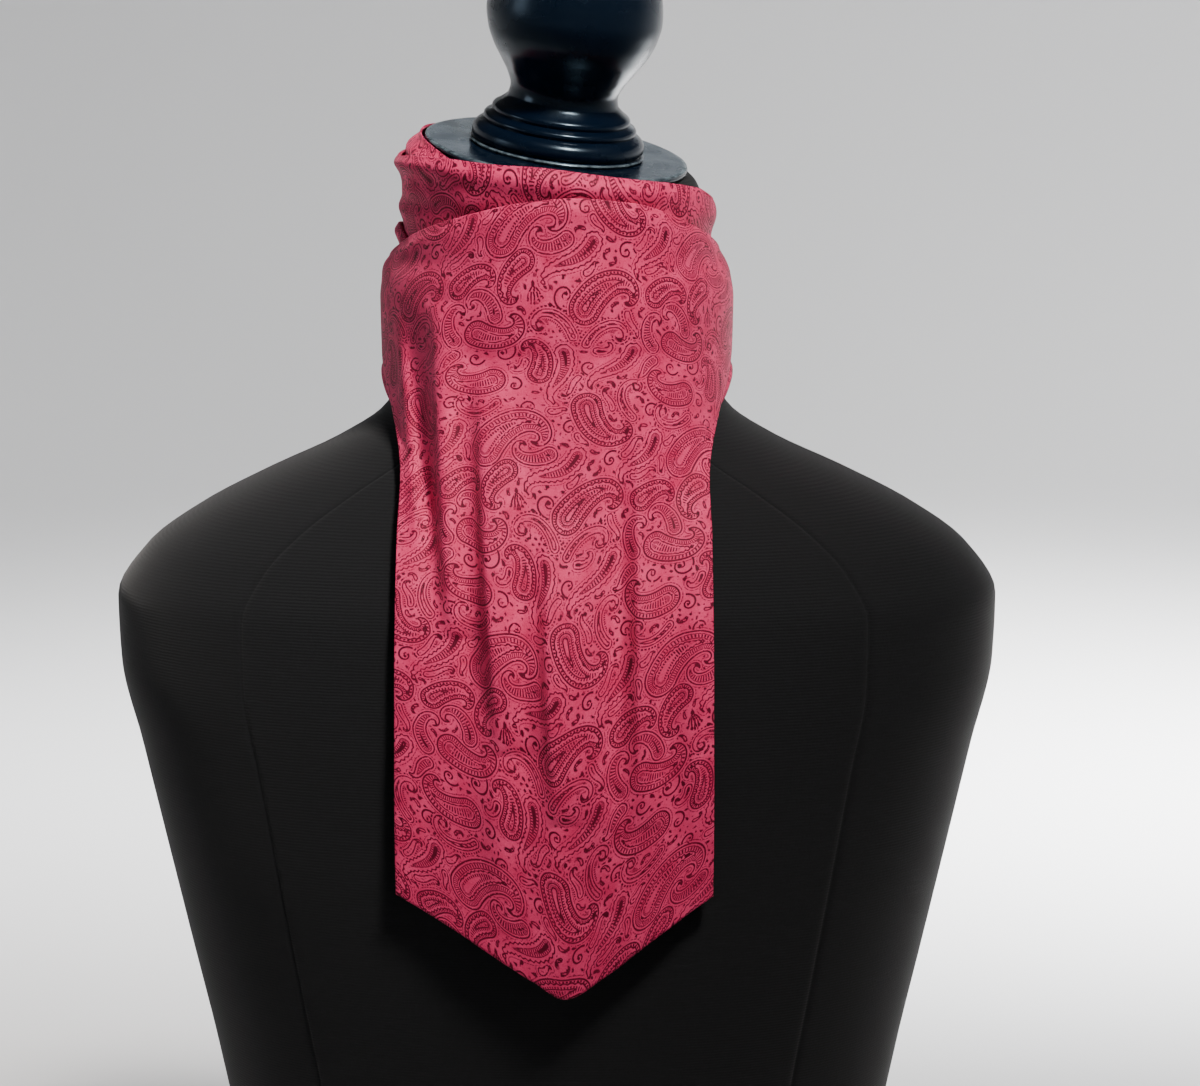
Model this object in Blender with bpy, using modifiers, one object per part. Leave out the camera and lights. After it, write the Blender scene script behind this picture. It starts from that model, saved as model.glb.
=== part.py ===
"""A day cravat tied on a limbless table-top dress form.

Run with: blender --background --python part.py

The form is a smooth covered torso on a flat board, with a turned cap and finial on its neck.
The cravat is one long pleated scarf: two turns of its middle round the neck, a lower stretch
that shows under them, and its two ends hanging in front, one over the other. Every stretch of
cloth is a wall worked out from the form's own sections, moved outward.

Tables are in millimetres. Their origin is the middle of the neck cap's top, a "drop" is a
distance below it, azimuth 0 faces the front (-Y) and grows towards +X. At the end the whole
is raised and centred, so that the board's underside stands at Z = 0.
"""
import math

import bpy
import numpy as np
from mathutils import Vector

MM = 0.001
GAP = 0.35                  # clearance between neighbouring pieces

CAP_ROLL = 7.9              # degrees, how far the neck's top sinks towards +X
CAP_PITCH = 8.7             # degrees, how far it sinks towards the front
CAP_RADIUS = 55.0
CAP_THICKNESS = 3.0
CAP_EDGE = 0.8              # bevel of its rim
TURNED_STEPS = 36
POLE_MERGE = 0.01           # points closer than this on a turned piece's axis become one

TORSO_STEPS = 44
FLARE_OF_NECK = (80.0, 170.0)   # drops where the neck runs out into the shoulders
BOARD_THICKNESS = 15.0
BOARD_INSET = 4.0
TILT_FULL, TILT_NONE = 22.0, 78.0   # drops between which the neck's tilt fades away

INNER_BAND_WALL = 1.5
OUTER_BAND_WALL = 2.0
SIDE_WRAP_WALL = 1.8
BLADE_WALL = 2.4
UNDER_BLADE_WALL = 1.8

# Room for the flat facets of curved walls, which cut inside the curve: under each turn, under
# the lower stretch and under each hanging end.
INNER_FACETS, OUTER_FACETS, SIDE_FACETS = 0.35, 0.525, 2.58
UNDER_FACETS, FRONT_FACETS = 0.7, 1.05

# How far each piece's outer face stands off the form, or off the piece beneath it.
INNER_CLEAR = GAP + INNER_FACETS + INNER_BAND_WALL
OUTER_CLEAR = INNER_CLEAR + GAP + OUTER_FACETS + OUTER_BAND_WALL
SIDE_CLEAR = GAP + SIDE_FACETS + SIDE_WRAP_WALL
UNDER_REST = GAP + UNDER_FACETS + UNDER_BLADE_WALL
BETWEEN_BLADES = GAP + FRONT_FACETS + BLADE_WALL
SLOPE_ROOM = 0.3            # share more of it where the shoulders slope
SLOPE_STARTS, SLOPE_ENDS = 130.0, 190.0     # drops between which that share fades away

BAND_LEAN = 0.07            # share by which the first turn's top edge leans in
BAND_LEANS, BAND_UPRIGHT = 1.0, 8.0         # drops between which the lean fades away
NECK_FULL = 17.0            # drop at which the neck has its full radius
CHEST_STARTS = 96.0         # drop at which the hanging ends begin to rest on the form
PLEAT_FADE, FOLD_FADE = 0.8, 0.7            # below 1, they keep their height further along

# Rows and columns of points in each stretch of cloth.
INNER_BAND_GRID = (5, 36)
OUTER_BAND_GRID = (11, 48)
SIDE_WRAP_GRID = (7, 36)
FRONT_BLADE_GRID = (32, 25)
UNDER_BLADE_GRID = (22, 25)
SIDE_WRAP_START, SIDE_WRAP_SWEEP = 32.0, 296.0      # degrees round the neck

# Sections of the form: half width, reach to the front and back of the neck's axis, and the
# exponent of the superellipse (2 is an ellipse, more is squarer).
FORM_COLUMNS = ("drop", "half_width", "front", "back", "squareness")
FORM_SECTIONS = (
    (3.5, 50.0, 50.0, 50.0, 2.0),
    (4.4, 55.0, 55.0, 55.0, 2.0),
    (7.0, 58.4, 58.4, 58.4, 2.0),
    (11.0, 59.8, 59.8, 59.8, 2.0),
    (17.0, 60.0, 60.0, 60.0, 2.0),
    (45.0, 60.0, 58.0, 62.0, 2.0),
    (75.0, 62.0, 57.0, 68.0, 2.0),
    (94.0, 64.5, 58.0, 74.0, 2.0),
    (108.0, 73.0, 60.0, 81.0, 2.05),
    (122.0, 94.0, 66.0, 88.0, 2.2),
    (136.0, 124.0, 75.0, 93.0, 2.35),
    (150.0, 151.0, 84.0, 97.0, 2.45),
    (166.0, 173.0, 93.0, 100.0, 2.5),
    (184.0, 184.0, 101.0, 102.0, 2.55),
    (210.0, 183.0, 107.0, 103.0, 2.55),
    (245.0, 175.0, 112.0, 102.0, 2.5),
    (285.0, 166.0, 114.0, 99.0, 2.45),
    (330.0, 156.0, 110.0, 94.0, 2.4),
    (380.0, 145.0, 101.0, 89.0, 2.35),
    (430.0, 136.0, 93.0, 85.0, 2.3),
    (475.0, 132.0, 89.0, 83.0, 2.3),
    (505.0, 133.0, 90.0, 84.0, 2.3),
)

# The turned finial: (radius, height above the cap), from the button down to the foot.
FINIAL_PROFILE = (
    (0.0, 97.5),
    (5.5, 96.6),
    (10.2, 93.6),
    (11.6, 90.6),
    (10.6, 88.0),
    (12.6, 86.8),
    (20.0, 84.2),
    (27.5, 79.0),
    (33.0, 71.5),
    (35.6, 63.5),
    (36.3, 56.5),
    (35.0, 49.0),
    (31.8, 41.5),
    (27.6, 35.0),
    (24.2, 29.5),
    (22.4, 24.4),
    (22.9, 21.0),
    (25.4, 18.2),
    (27.6, 16.4),
    (28.4, 13.8),
    (31.0, 11.9),
    (31.6, 9.9),
    (33.6, 8.4),
    (35.8, 5.6),
    (35.6, 2.4),
    (34.4, 0.3),
    (0.0, 0.3),
)

# The neckbands: where each turn's edges run, by azimuth.
BAND_COLUMNS = ("azimuth", "top", "bottom")
INNER_BAND_EDGES = (
    (0.0, 8.0, 34.0),
    (60.0, 12.0, 34.0),
    (110.0, 16.0, 36.0),
    (160.0, 10.0, 40.0),
    (200.0, 6.8, 40.0),
    (228.0, 4.6, 39.0),
    (258.0, 1.8, 38.0),
    (285.0, 2.4, 34.0),
    (320.0, 5.0, 34.0),
)
OUTER_BAND_EDGES = (
    (0.0, -4.4, 48.0),
    (34.0, -2.6, 48.0),
    (62.0, 2.2, 46.0),
    (82.0, 10.5, 45.0),
    (110.0, 14.0, 45.0),
    (150.0, 14.5, 45.0),
    (195.0, 14.5, 44.0),
    (240.0, 14.0, 42.0),
    (272.0, 12.0, 39.0),
    (298.0, 5.4, 40.0),
    (316.0, 1.2, 43.0),
    (336.0, -1.6, 48.0),
)
SIDE_WRAP_EDGES = (
    (0.0, 49.5, 74.0),
    (60.0, 48.3, 72.0),
    (120.0, 46.8, 66.0),
    (180.0, 46.2, 64.0),
    (240.0, 44.2, 64.0),
    (276.0, 40.6, 66.0),
    (310.0, 44.8, 72.0),
)

# Pleats across the turns: a row runs from one azimuth and share of the band's height (0 at
# the top edge) to another, stands out by its height and dies away at its ends.
PLEAT_COLUMNS = ("start", "end", "share_start", "share_end", "height", "width")
INNER_BAND_PLEATS = (
    (150.0, 300.0, 0.30, 0.22, 0.5, 0.16),
)
OUTER_BAND_PLEATS = (
    (228.0, 330.0, 0.06, 0.10, 1.7, 0.12),
    (250.0, 350.0, 0.55, 0.30, 1.3, 0.11),
    (245.0, 330.0, 0.88, 0.62, 0.9, 0.10),
    (30.0, 135.0, 0.30, 0.16, 1.2, 0.12),
    (55.0, 170.0, 0.72, 0.55, 1.3, 0.12),
    (120.0, 262.0, 0.20, 0.34, 1.3, 0.11),
    (140.0, 285.0, 0.74, 0.66, 1.1, 0.12),
)
SIDE_WRAP_PLEATS = (
    (242.0, 294.0, 0.08, 0.03, 2.4, 0.13),
    (95.0, 262.0, 0.30, 0.45, 1.4, 0.20),
)

# Sections of the hanging ends: an arc of an ellipse of these half axes about (0, centre),
# between plus and minus its spread in degrees.
BLADE_COLUMNS = ("drop", "across", "deep", "centre", "spread")
FRONT_BLADE_SECTIONS = (
    (14.0, 70.0, 71.0, 1.5, 88.0),
    (30.0, 69.0, 73.1, 3.0, 90.0),
    (42.0, 68.8, 75.6, 4.0, 91.0),
    (52.0, 72.2, 78.6, 5.0, 93.0),
    (62.0, 73.8, 81.2, 6.0, 94.0),
    (76.0, 73.6, 83.0, 6.5, 91.0),
    (90.0, 73.0, 82.2, 2.0, 80.0),
    (104.0, 72.4, 77.0, -7.0, 68.0),
    (122.0, 73.0, 67.0, -22.0, 59.0),
    (148.0, 77.0, 55.0, -43.0, 54.5),
    (180.0, 86.0, 47.0, -62.0, 47.0),
    (220.0, 98.0, 45.0, -73.5, 40.0),
    (260.0, 106.0, 45.0, -78.0, 36.5),
    (300.0, 112.0, 45.0, -78.0, 34.0),
    (345.0, 116.0, 45.0, -74.0, 32.5),
)
# The end beneath follows the same sections, moved in, over a spread of its own.
SPREAD_COLUMNS = ("drop", "spread")
UNDER_BLADE_SPREAD = (
    (70.0, 78.0),
    (80.0, 88.0),
    (90.0, 91.0),
    (99.0, 84.0),
    (110.0, 68.0),
    (126.0, 56.0),
    (150.0, 50.0),
    (180.0, 43.0),
    (220.0, 36.0),
    (260.0, 32.0),
    (320.0, 28.0),
)
FLARE = 4.8                 # how far its edges stand out beside the neck
FLARE_DROP, FLARE_REACH = 91.0, 13.0
FLARE_BEGINS, FLARE_FULL = 2.0, 14.0        # degrees past the edge of the end above it

# The two edges of an end, by share across it (-1 at the -X edge, 1 at the other).
EDGE_COLUMNS = ("share", "top", "bottom")
FRONT_BLADE_EDGES = (
    (-1.0, 46.0, 287.0),
    (-0.85, 40.5, 292.0),
    (-0.60, 31.5, 301.0),
    (-0.37, 24.6, 311.0),
    (-0.12, 18.6, 322.0),
    (0.06, 16.8, 329.0),
    (0.32, 19.4, 319.0),
    (0.58, 28.3, 306.0),
    (0.85, 37.7, 294.0),
    (1.0, 43.0, 288.0),
)
UNDER_BLADE_EDGES = (
    (-1.0, 78.0, 268.0),
    (-0.5, 77.5, 287.0),
    (0.0, 77.0, 306.0),
    (0.5, 77.5, 288.0),
    (1.0, 78.0, 270.0),
)

# Hanging folds: a row is a soft trough (depth above 0) or ridge (below 0) that runs down the
# cloth from one place to another and dies away at both ends.
FOLD_COLUMNS = ("x_top", "drop_top", "x_bottom", "drop_bottom", "depth", "width")
FRONT_BLADE_FOLDS = (
    (-62.0, 64.0, -51.0, 150.0, -1.6, 5.0),
    (-56.0, 68.0, -45.5, 176.0, 1.8, 5.5),
    (-48.0, 68.0, -38.5, 182.0, -3.0, 6.5),
    (-39.0, 92.0, -32.5, 212.0, 1.9, 6.0),
    (-30.0, 92.0, -23.0, 220.0, -2.8, 7.0),
    (-15.0, 150.0, -8.5, 238.0, 1.6, 6.5),
    (-5.0, 150.0, 1.0, 244.0, -1.8, 7.0),
    (25.0, 96.0, 26.0, 246.0, 1.7, 5.5),
    (35.0, 92.0, 35.0, 250.0, -2.2, 7.0),
    (47.0, 150.0, 43.0, 262.0, 1.5, 6.5),
    (-24.0, 200.0, -20.0, 296.0, -1.5, 7.0),
    (8.0, 205.0, 10.0, 302.0, 1.3, 7.0),
)
COLORS = {
    "cloth": (0.55, 0.10, 0.16, 1.0),
    "lacquer": (0.008, 0.012, 0.016, 1.0),
    "jersey": (0.012, 0.012, 0.014, 1.0),
    "board": (0.02, 0.018, 0.016, 1.0),
}
FINISHES = {"cloth": 0.6, "lacquer": 0.22, "jersey": 0.9, "board": 0.5}


def column(rows, names, wanted):
    """One named column of a table, as an array."""
    return np.array([row[names.index(wanted)] for row in rows], dtype=float)


def named(rows, names):
    """A table's rows, each as a dictionary of its named columns."""
    return [dict(zip(names, row)) for row in rows]


def curve_through(known, values, places):
    """A smooth curve through (known, values): cubic Hermite spans whose slopes are the
    harmonic mean of their neighbours', and zero at a turning point, so nothing overshoots."""
    steps = np.diff(known)
    rises = np.diff(values) / steps
    before, after = rises[:-1], rises[1:]
    same_way = before * after > 0
    total = np.where(same_way, before + after, 1.0)
    inner = np.where(same_way, 2 * before * after / total, 0.0)
    slopes = np.concatenate(([rises[0]], inner, [rises[-1]]))
    places = np.clip(places, known[0], known[-1])
    span = np.clip(np.searchsorted(known, places, side="right") - 1, 0, len(steps) - 1)
    t = (places - known[span]) / steps[span]
    rise = values[span + 1] - values[span]
    start = slopes[span] * steps[span]
    finish = slopes[span + 1] * steps[span]
    return values[span] + t * (
        start + t * ((3 * rise - 2 * start - finish) + t * (start + finish - 2 * rise))
    )


def lookup(rows, names, wanted, places):
    """A column of a table as a smooth function of the table's first column."""
    return curve_through(column(rows, names, names[0]), column(rows, names, wanted), places)


def lookup_round(rows, names, wanted, azimuths):
    """The same for a table that closes on itself after 360 degrees."""
    around = column(rows, names, names[0])
    values = column(rows, names, wanted)
    around = np.concatenate((around - 360.0, around, around + 360.0))
    return curve_through(around, np.tile(values, 3), np.mod(azimuths, 360.0))


def smooth_step(low, high, places):
    """0 below low, 1 above high and an S-curve between."""
    t = np.clip((places - low) / (high - low), 0.0, 1.0)
    return t * t * (3 - 2 * t)


def tilted(x, y, drop):
    """Height of a point: the neck's top slants to +X and to the front, which fades below."""
    slant = y * math.tan(math.radians(CAP_PITCH)) - x * math.tan(math.radians(CAP_ROLL))
    return -drop + slant * (1 - smooth_step(TILT_FULL, TILT_NONE, drop))


def form_point(azimuth, drop, out=0.0):
    """A point of the form's surface, moved outward: a superellipse at each drop."""
    half_width = lookup(FORM_SECTIONS, FORM_COLUMNS, "half_width", drop) + out
    front = lookup(FORM_SECTIONS, FORM_COLUMNS, "front", drop) + out
    back = lookup(FORM_SECTIONS, FORM_COLUMNS, "back", drop) + out
    power = 2 / lookup(FORM_SECTIONS, FORM_COLUMNS, "squareness", drop)
    sine, cosine = np.sin(np.radians(azimuth)), np.cos(np.radians(azimuth))
    x = half_width * np.sign(sine) * np.abs(sine) ** power
    reach = np.where(cosine > 0, front, back)
    y = -reach * np.sign(cosine) * np.abs(cosine) ** power
    return x, y


def form_front(x, drop, out):
    """How far the form's front, moved outward, reaches at x, and 0 beside the neck. Where the
    shoulders slope it is moved further, so that the gap square to the slope is kept."""
    out = out * (1 + SLOPE_ROOM * (1 - smooth_step(SLOPE_STARTS, SLOPE_ENDS, drop)))
    half_width = lookup(FORM_SECTIONS, FORM_COLUMNS, "half_width", drop) + out
    front = lookup(FORM_SECTIONS, FORM_COLUMNS, "front", drop) + out
    power = lookup(FORM_SECTIONS, FORM_COLUMNS, "squareness", drop)
    inside = np.clip(1 - np.abs(x / half_width) ** power, 0.0, 1.0)
    return front * inside ** (1 / power)


def pleat_relief(pleats, azimuth, share):
    """How far the pleats stand out: a bell across each, fading along it to nothing."""
    relief = np.zeros_like(azimuth)
    for pleat in named(pleats, PLEAT_COLUMNS):
        length = pleat["end"] - pleat["start"]
        along = np.clip((azimuth - pleat["start"]) / length, 0.0, 1.0)
        middle = pleat["share_start"] + (pleat["share_end"] - pleat["share_start"]) * along
        bell = np.exp(-(((share - middle) / pleat["width"]) ** 2))
        relief += pleat["height"] * bell * np.sin(math.pi * along) ** PLEAT_FADE
    return relief


def fold_relief(folds, x, drop):
    """How far the folds sink in, in the same way, along lines that run down the cloth."""
    relief = np.zeros_like(x)
    for fold in named(folds, FOLD_COLUMNS):
        length = fold["drop_bottom"] - fold["drop_top"]
        along = np.clip((drop - fold["drop_top"]) / length, 0.0, 1.0)
        middle = fold["x_top"] + (fold["x_bottom"] - fold["x_top"]) * along
        bell = np.exp(-(((x - middle) / fold["width"]) ** 2))
        relief += fold["depth"] * bell * np.sin(math.pi * along) ** FOLD_FADE
    return relief


def material(name):
    """A Principled material of one colour and roughness."""
    made = bpy.data.materials.new(name)
    made.use_nodes = True
    shader = made.node_tree.nodes["Principled BSDF"]
    shader.inputs["Base Color"].default_value = COLORS[name]
    shader.inputs["Roughness"].default_value = FINISHES[name]
    made.diffuse_color = COLORS[name]
    return made


def add_object(name, mesh, finish):
    """An object of the mesh in the cravat's collection, shaded smooth."""
    made = bpy.data.objects.new(name, mesh)
    made.data.materials.append(finish)
    mesh.shade_smooth()
    collection.objects.link(made)
    return made


def grid_mesh(name, points, closed, capped=False):
    """A mesh of quads over an array of points [row, column]. Rows run downward and columns
    towards +X, so the faces point outward. A closed grid joins its last column to its first,
    and a capped one has a flat face over its first row and one under its last."""
    rows, columns = points.shape[:2]
    mesh = bpy.data.meshes.new(name)
    last = columns if closed else columns - 1
    faces = []
    for row in range(rows - 1):
        for here in range(last):
            beside = (here + 1) % columns
            faces.append((
                row * columns + here,
                (row + 1) * columns + here,
                (row + 1) * columns + beside,
                row * columns + beside,
            ))
    if capped:
        faces.append(tuple(range(columns)))
        faces.append(tuple(reversed(range((rows - 1) * columns, rows * columns))))
    mesh.from_pydata((points.reshape(-1, 3) * MM).tolist(), [], faces)
    mesh.update()
    return mesh


def cloth_wall(name, points, closed, wall):
    """A stretch of cloth: its outer face as an open surface, made a wall inward."""
    made = add_object(name, grid_mesh(name, points, closed), materials["cloth"])
    solid = made.modifiers.new("wall", "SOLIDIFY")
    solid.thickness = wall * MM
    solid.offset = -1.0
    solid.use_even_offset = False
    return made


def build_torso():
    """The covered form: a loft through its sections, and one more between each two where the
    neck runs out into the shoulders. It is capped flat at neck and waist."""
    drops = column(FORM_SECTIONS, FORM_COLUMNS, "drop")
    between = (drops[1:] + drops[:-1]) / 2
    flare = (between > FLARE_OF_NECK[0]) & (between < FLARE_OF_NECK[1])
    drops = np.sort(np.concatenate((drops, between[flare])))
    azimuths = np.arange(TORSO_STEPS) * 360.0 / TORSO_STEPS
    drop, azimuth = np.meshgrid(drops, azimuths, indexing="ij")
    x, y = form_point(azimuth, drop)
    points = np.stack((x, y, tilted(x, y, drop)), axis=-1)
    mesh = grid_mesh("form_torso", points, closed=True, capped=True)
    add_object("form_torso", mesh, materials["jersey"])


def build_board():
    """The flat oval board under the form: its lowest section drawn in, extruded."""
    lowest = FORM_SECTIONS[-1][0]
    azimuths = np.arange(TORSO_STEPS) * 360.0 / TORSO_STEPS
    x, y = form_point(azimuths, np.full_like(azimuths, lowest), -BOARD_INSET)
    outline = bpy.data.curves.new("form_board", "CURVE")
    outline.dimensions = "2D"
    outline.fill_mode = "BOTH"
    outline.extrude = BOARD_THICKNESS / 2 * MM
    spline = outline.splines.new("POLY")
    spline.points.add(len(x) - 1)
    for point, px, py in zip(spline.points, x, y):
        point.co = (px * MM, py * MM, 0.0, 1.0)
    spline.use_cyclic_u = True
    outline.materials.append(materials["board"])
    board = bpy.data.objects.new("form_board", outline)
    board.location.z = -(lowest + GAP + BOARD_THICKNESS / 2) * MM
    collection.objects.link(board)


def turned(name, profile, finish):
    """A turned piece: a profile of (radius, height), listed from top to bottom, screwed."""
    mesh = bpy.data.meshes.new(name)
    points = [(radius * MM, 0.0, height * MM) for radius, height in profile]
    edges = [(here, here + 1) for here in range(len(points) - 1)]
    mesh.from_pydata(points, edges, [])
    made = add_object(name, mesh, finish)
    screw = made.modifiers.new("turning", "SCREW")
    screw.steps = TURNED_STEPS
    screw.render_steps = TURNED_STEPS
    screw.use_merge_vertices = True
    screw.merge_threshold = POLE_MERGE * MM
    screw.use_smooth_shade = True
    return made


def build_cap():
    """The neck cap and its finial, both on one slanted axis."""
    axis = bpy.data.objects.new("cap_axis", None)
    upright = Vector((
        math.tan(math.radians(CAP_ROLL)),
        -math.tan(math.radians(CAP_PITCH)),
        1.0,
    ))
    axis.rotation_mode = "QUATERNION"
    axis.rotation_quaternion = Vector((0, 0, 1)).rotation_difference(upright)
    collection.objects.link(axis)
    disc = (
        (0.0, 0.0),
        (CAP_RADIUS - CAP_EDGE, 0.0),
        (CAP_RADIUS, -CAP_EDGE),
        (CAP_RADIUS, CAP_EDGE - CAP_THICKNESS),
        (CAP_RADIUS - CAP_EDGE, -CAP_THICKNESS),
        (0.0, -CAP_THICKNESS),
    )
    for piece in (
        turned("neck_cap", disc, materials["lacquer"]),
        turned("finial", FINIAL_PROFILE, materials["lacquer"]),
    ):
        piece.parent = axis


def band_points(edges, pleats, clear, grid, start=0.0, sweep=360.0):
    """A turn of cloth round the neck: the form's neck sections moved out by clear, plus the
    pleats, between the two edges of its table."""
    rows, columns = grid
    closed = sweep >= 360.0
    azimuths = start + np.linspace(0.0, sweep, columns, endpoint=not closed)
    shares = np.linspace(0.0, 1.0, rows)
    share, azimuth = np.meshgrid(shares, azimuths, indexing="ij")
    top = lookup_round(edges, BAND_COLUMNS, "top", azimuth)
    bottom = lookup_round(edges, BAND_COLUMNS, "bottom", azimuth)
    drop = top + (bottom - top) * share
    out = clear + pleat_relief(pleats, np.mod(azimuth, 360.0), share)
    x, y = form_point(azimuth, np.maximum(drop, NECK_FULL), out)
    return x, y, drop


def build_inner_band():
    """The first turn. Its top edge leans in over the rounded top of the neck."""
    x, y, drop = band_points(
        INNER_BAND_EDGES, INNER_BAND_PLEATS, INNER_CLEAR, INNER_BAND_GRID
    )
    lean = 1 - BAND_LEAN * (1 - smooth_step(BAND_LEANS, BAND_UPRIGHT, drop))
    x, y = x * lean, y * lean
    points = np.stack((x, y, tilted(x, y, drop)), axis=-1)
    cloth_wall("neckband_inner", points, True, INNER_BAND_WALL)


def build_outer_band():
    """The second turn, pleated, whose edge stands just above the cap in front."""
    x, y, drop = band_points(
        OUTER_BAND_EDGES, OUTER_BAND_PLEATS, OUTER_CLEAR, OUTER_BAND_GRID
    )
    points = np.stack((x, y, tilted(x, y, drop)), axis=-1)
    cloth_wall("neckband_outer", points, True, OUTER_BAND_WALL)


def build_side_wrap():
    """The lower stretch, which comes round the neck and goes under the hanging ends."""
    x, y, drop = band_points(
        SIDE_WRAP_EDGES, SIDE_WRAP_PLEATS, SIDE_CLEAR, SIDE_WRAP_GRID,
        SIDE_WRAP_START, SIDE_WRAP_SWEEP,
    )
    points = np.stack((x, y, tilted(x, y, drop)), axis=-1)
    cloth_wall("side_wrap", points, False, SIDE_WRAP_WALL)


def blade_points(edges, spreads, names, inset, rest, grid, flare=0.0):
    """A hanging end: rows are spread between its top and bottom edges and each point lies on
    the arc of its own drop, moved in by inset. Folds sink in, and where the cloth meets the
    chest it rests on it."""
    rows, columns = grid
    shares = np.linspace(-1.0, 1.0, columns)
    downs = np.linspace(0.0, 1.0, rows)
    down, share = np.meshgrid(downs, shares, indexing="ij")
    top = lookup(edges, EDGE_COLUMNS, "top", share)
    bottom = lookup(edges, EDGE_COLUMNS, "bottom", share)
    drop = top + (bottom - top) * down
    across = lookup(FRONT_BLADE_SECTIONS, BLADE_COLUMNS, "across", drop)
    deep = lookup(FRONT_BLADE_SECTIONS, BLADE_COLUMNS, "deep", drop)
    centre = lookup(FRONT_BLADE_SECTIONS, BLADE_COLUMNS, "centre", drop)
    covered = lookup(FRONT_BLADE_SECTIONS, BLADE_COLUMNS, "spread", drop)
    angle = share * lookup(spreads, names, "spread", drop)
    beside = smooth_step(covered + FLARE_BEGINS, covered + FLARE_FULL, np.abs(angle))
    out = flare * beside * np.exp(-(((drop - FLARE_DROP) / FLARE_REACH) ** 2)) - inset
    angle = np.radians(angle)
    sink = fold_relief(FRONT_BLADE_FOLDS, across * np.sin(angle), drop)
    x = (across + out) * np.sin(angle)
    y = centre - (deep + out - sink) * np.cos(angle)
    y = np.where(drop > CHEST_STARTS, np.minimum(y, -form_front(x, drop, rest)), y)
    return np.stack((x, y, -drop), axis=-1)


def build_front_blade():
    """The end that hangs over all: its top is the fold that arches over the neckband."""
    points = blade_points(
        FRONT_BLADE_EDGES, FRONT_BLADE_SECTIONS, BLADE_COLUMNS, 0.0,
        UNDER_REST + BETWEEN_BLADES, FRONT_BLADE_GRID,
    )
    cloth_wall("front_blade", points, False, BLADE_WALL)


def build_under_blade():
    """The other end, beneath, a little shorter, which peeks out at the sides of the neck."""
    points = blade_points(
        UNDER_BLADE_EDGES, UNDER_BLADE_SPREAD, SPREAD_COLUMNS, BETWEEN_BLADES, UNDER_REST,
        UNDER_BLADE_GRID, FLARE,
    )
    cloth_wall("under_blade", points, False, UNDER_BLADE_WALL)


def stand_on_origin():
    """Moves the whole so that its box stands on Z = 0, centred on X and Y."""
    bpy.context.view_layer.update()
    shapes = bpy.context.evaluated_depsgraph_get()
    corners = []
    for made in collection.objects:
        if made.type == "EMPTY":
            continue
        seen = made.evaluated_get(shapes)
        mesh = seen.to_mesh()
        corners.extend(seen.matrix_world @ vertex.co for vertex in mesh.vertices)
        seen.to_mesh_clear()
    corners = np.array(corners)
    low, high = corners.min(axis=0), corners.max(axis=0)
    shift = Vector((-(low[0] + high[0]) / 2, -(low[1] + high[1]) / 2, -low[2]))
    for made in collection.objects:
        if made.parent is None:
            made.location += shift
    bpy.context.view_layer.update()


for old in list(bpy.data.objects):
    bpy.data.objects.remove(old)
collection = bpy.data.collections.new("cravat_on_dress_form")
bpy.context.scene.collection.children.link(collection)
materials = {name: material(name) for name in COLORS}

build_torso()
build_board()
build_cap()
build_inner_band()
build_outer_band()
build_side_wrap()
build_front_blade()
build_under_blade()
stand_on_origin()
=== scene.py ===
"""Looks of a day cravat tied on a limbless table-top dress form.

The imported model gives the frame. This script lays thin cloth on the cravat's solids, prints
it with a tone-on-tone paisley, covers the form in black jersey and turns its lacquered cap
and finial. Surfaces are worked out with numpy from short tables. Tables are in millimetres
from the middle of the neck cap's top: a "drop" is a distance below it, azimuth 0 faces the
front (-Y) and grows towards +X.
"""
import math

import bmesh
import bpy
import numpy as np
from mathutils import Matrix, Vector


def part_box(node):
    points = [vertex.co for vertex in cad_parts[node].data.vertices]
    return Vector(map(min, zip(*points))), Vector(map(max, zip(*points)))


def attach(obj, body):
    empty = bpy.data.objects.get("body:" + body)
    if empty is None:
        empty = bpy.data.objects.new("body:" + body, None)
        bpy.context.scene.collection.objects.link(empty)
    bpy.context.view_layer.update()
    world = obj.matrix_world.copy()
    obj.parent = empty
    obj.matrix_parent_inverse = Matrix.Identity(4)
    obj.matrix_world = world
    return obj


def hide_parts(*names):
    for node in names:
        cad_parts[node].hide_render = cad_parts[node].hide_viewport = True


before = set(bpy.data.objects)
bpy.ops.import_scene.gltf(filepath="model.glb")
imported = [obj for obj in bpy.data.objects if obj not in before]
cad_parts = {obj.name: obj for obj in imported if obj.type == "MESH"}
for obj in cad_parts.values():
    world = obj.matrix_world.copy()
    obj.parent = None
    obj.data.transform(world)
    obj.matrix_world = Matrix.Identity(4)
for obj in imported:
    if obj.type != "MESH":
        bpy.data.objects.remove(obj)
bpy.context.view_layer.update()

MM = 0.001
GAP = 0.35                  # clearance that the CAD keeps between neighbouring pieces
BOARD_THICKNESS = 15.0
BOARD_INSET = 4.0
CAP_ROLL = 7.9              # degrees, how far the neck's top sinks towards +X
CAP_PITCH = 8.7             # degrees, how far it sinks towards the front
CAP_RADIUS = 55.0
CAP_THICKNESS = 3.0
TILT_FULL, TILT_NONE = 22.0, 78.0   # drops between which the neck's tilt fades away
NECK_FULL = 17.0            # drop at which the neck has its full radius
CHEST_STARTS = 96.0         # drop at which the hanging ends begin to rest on the form
SLOPE_ROOM = 0.3            # share by which they stand off further where the shoulders slope
SLOPE_STARTS, SLOPE_ENDS = 130.0, 190.0     # drops between which that share fades away
BAND_LEAN = 0.09            # share by which the first turn's top edge leans in
BAND_LEANS, BAND_UPRIGHT = 1.0, 8.0         # drops between which the lean fades away
NECK_ARC = 1.1              # mm round the neck for each degree
BLADE_HALF = 75.0           # from the middle of a hanging end to its edge

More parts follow.
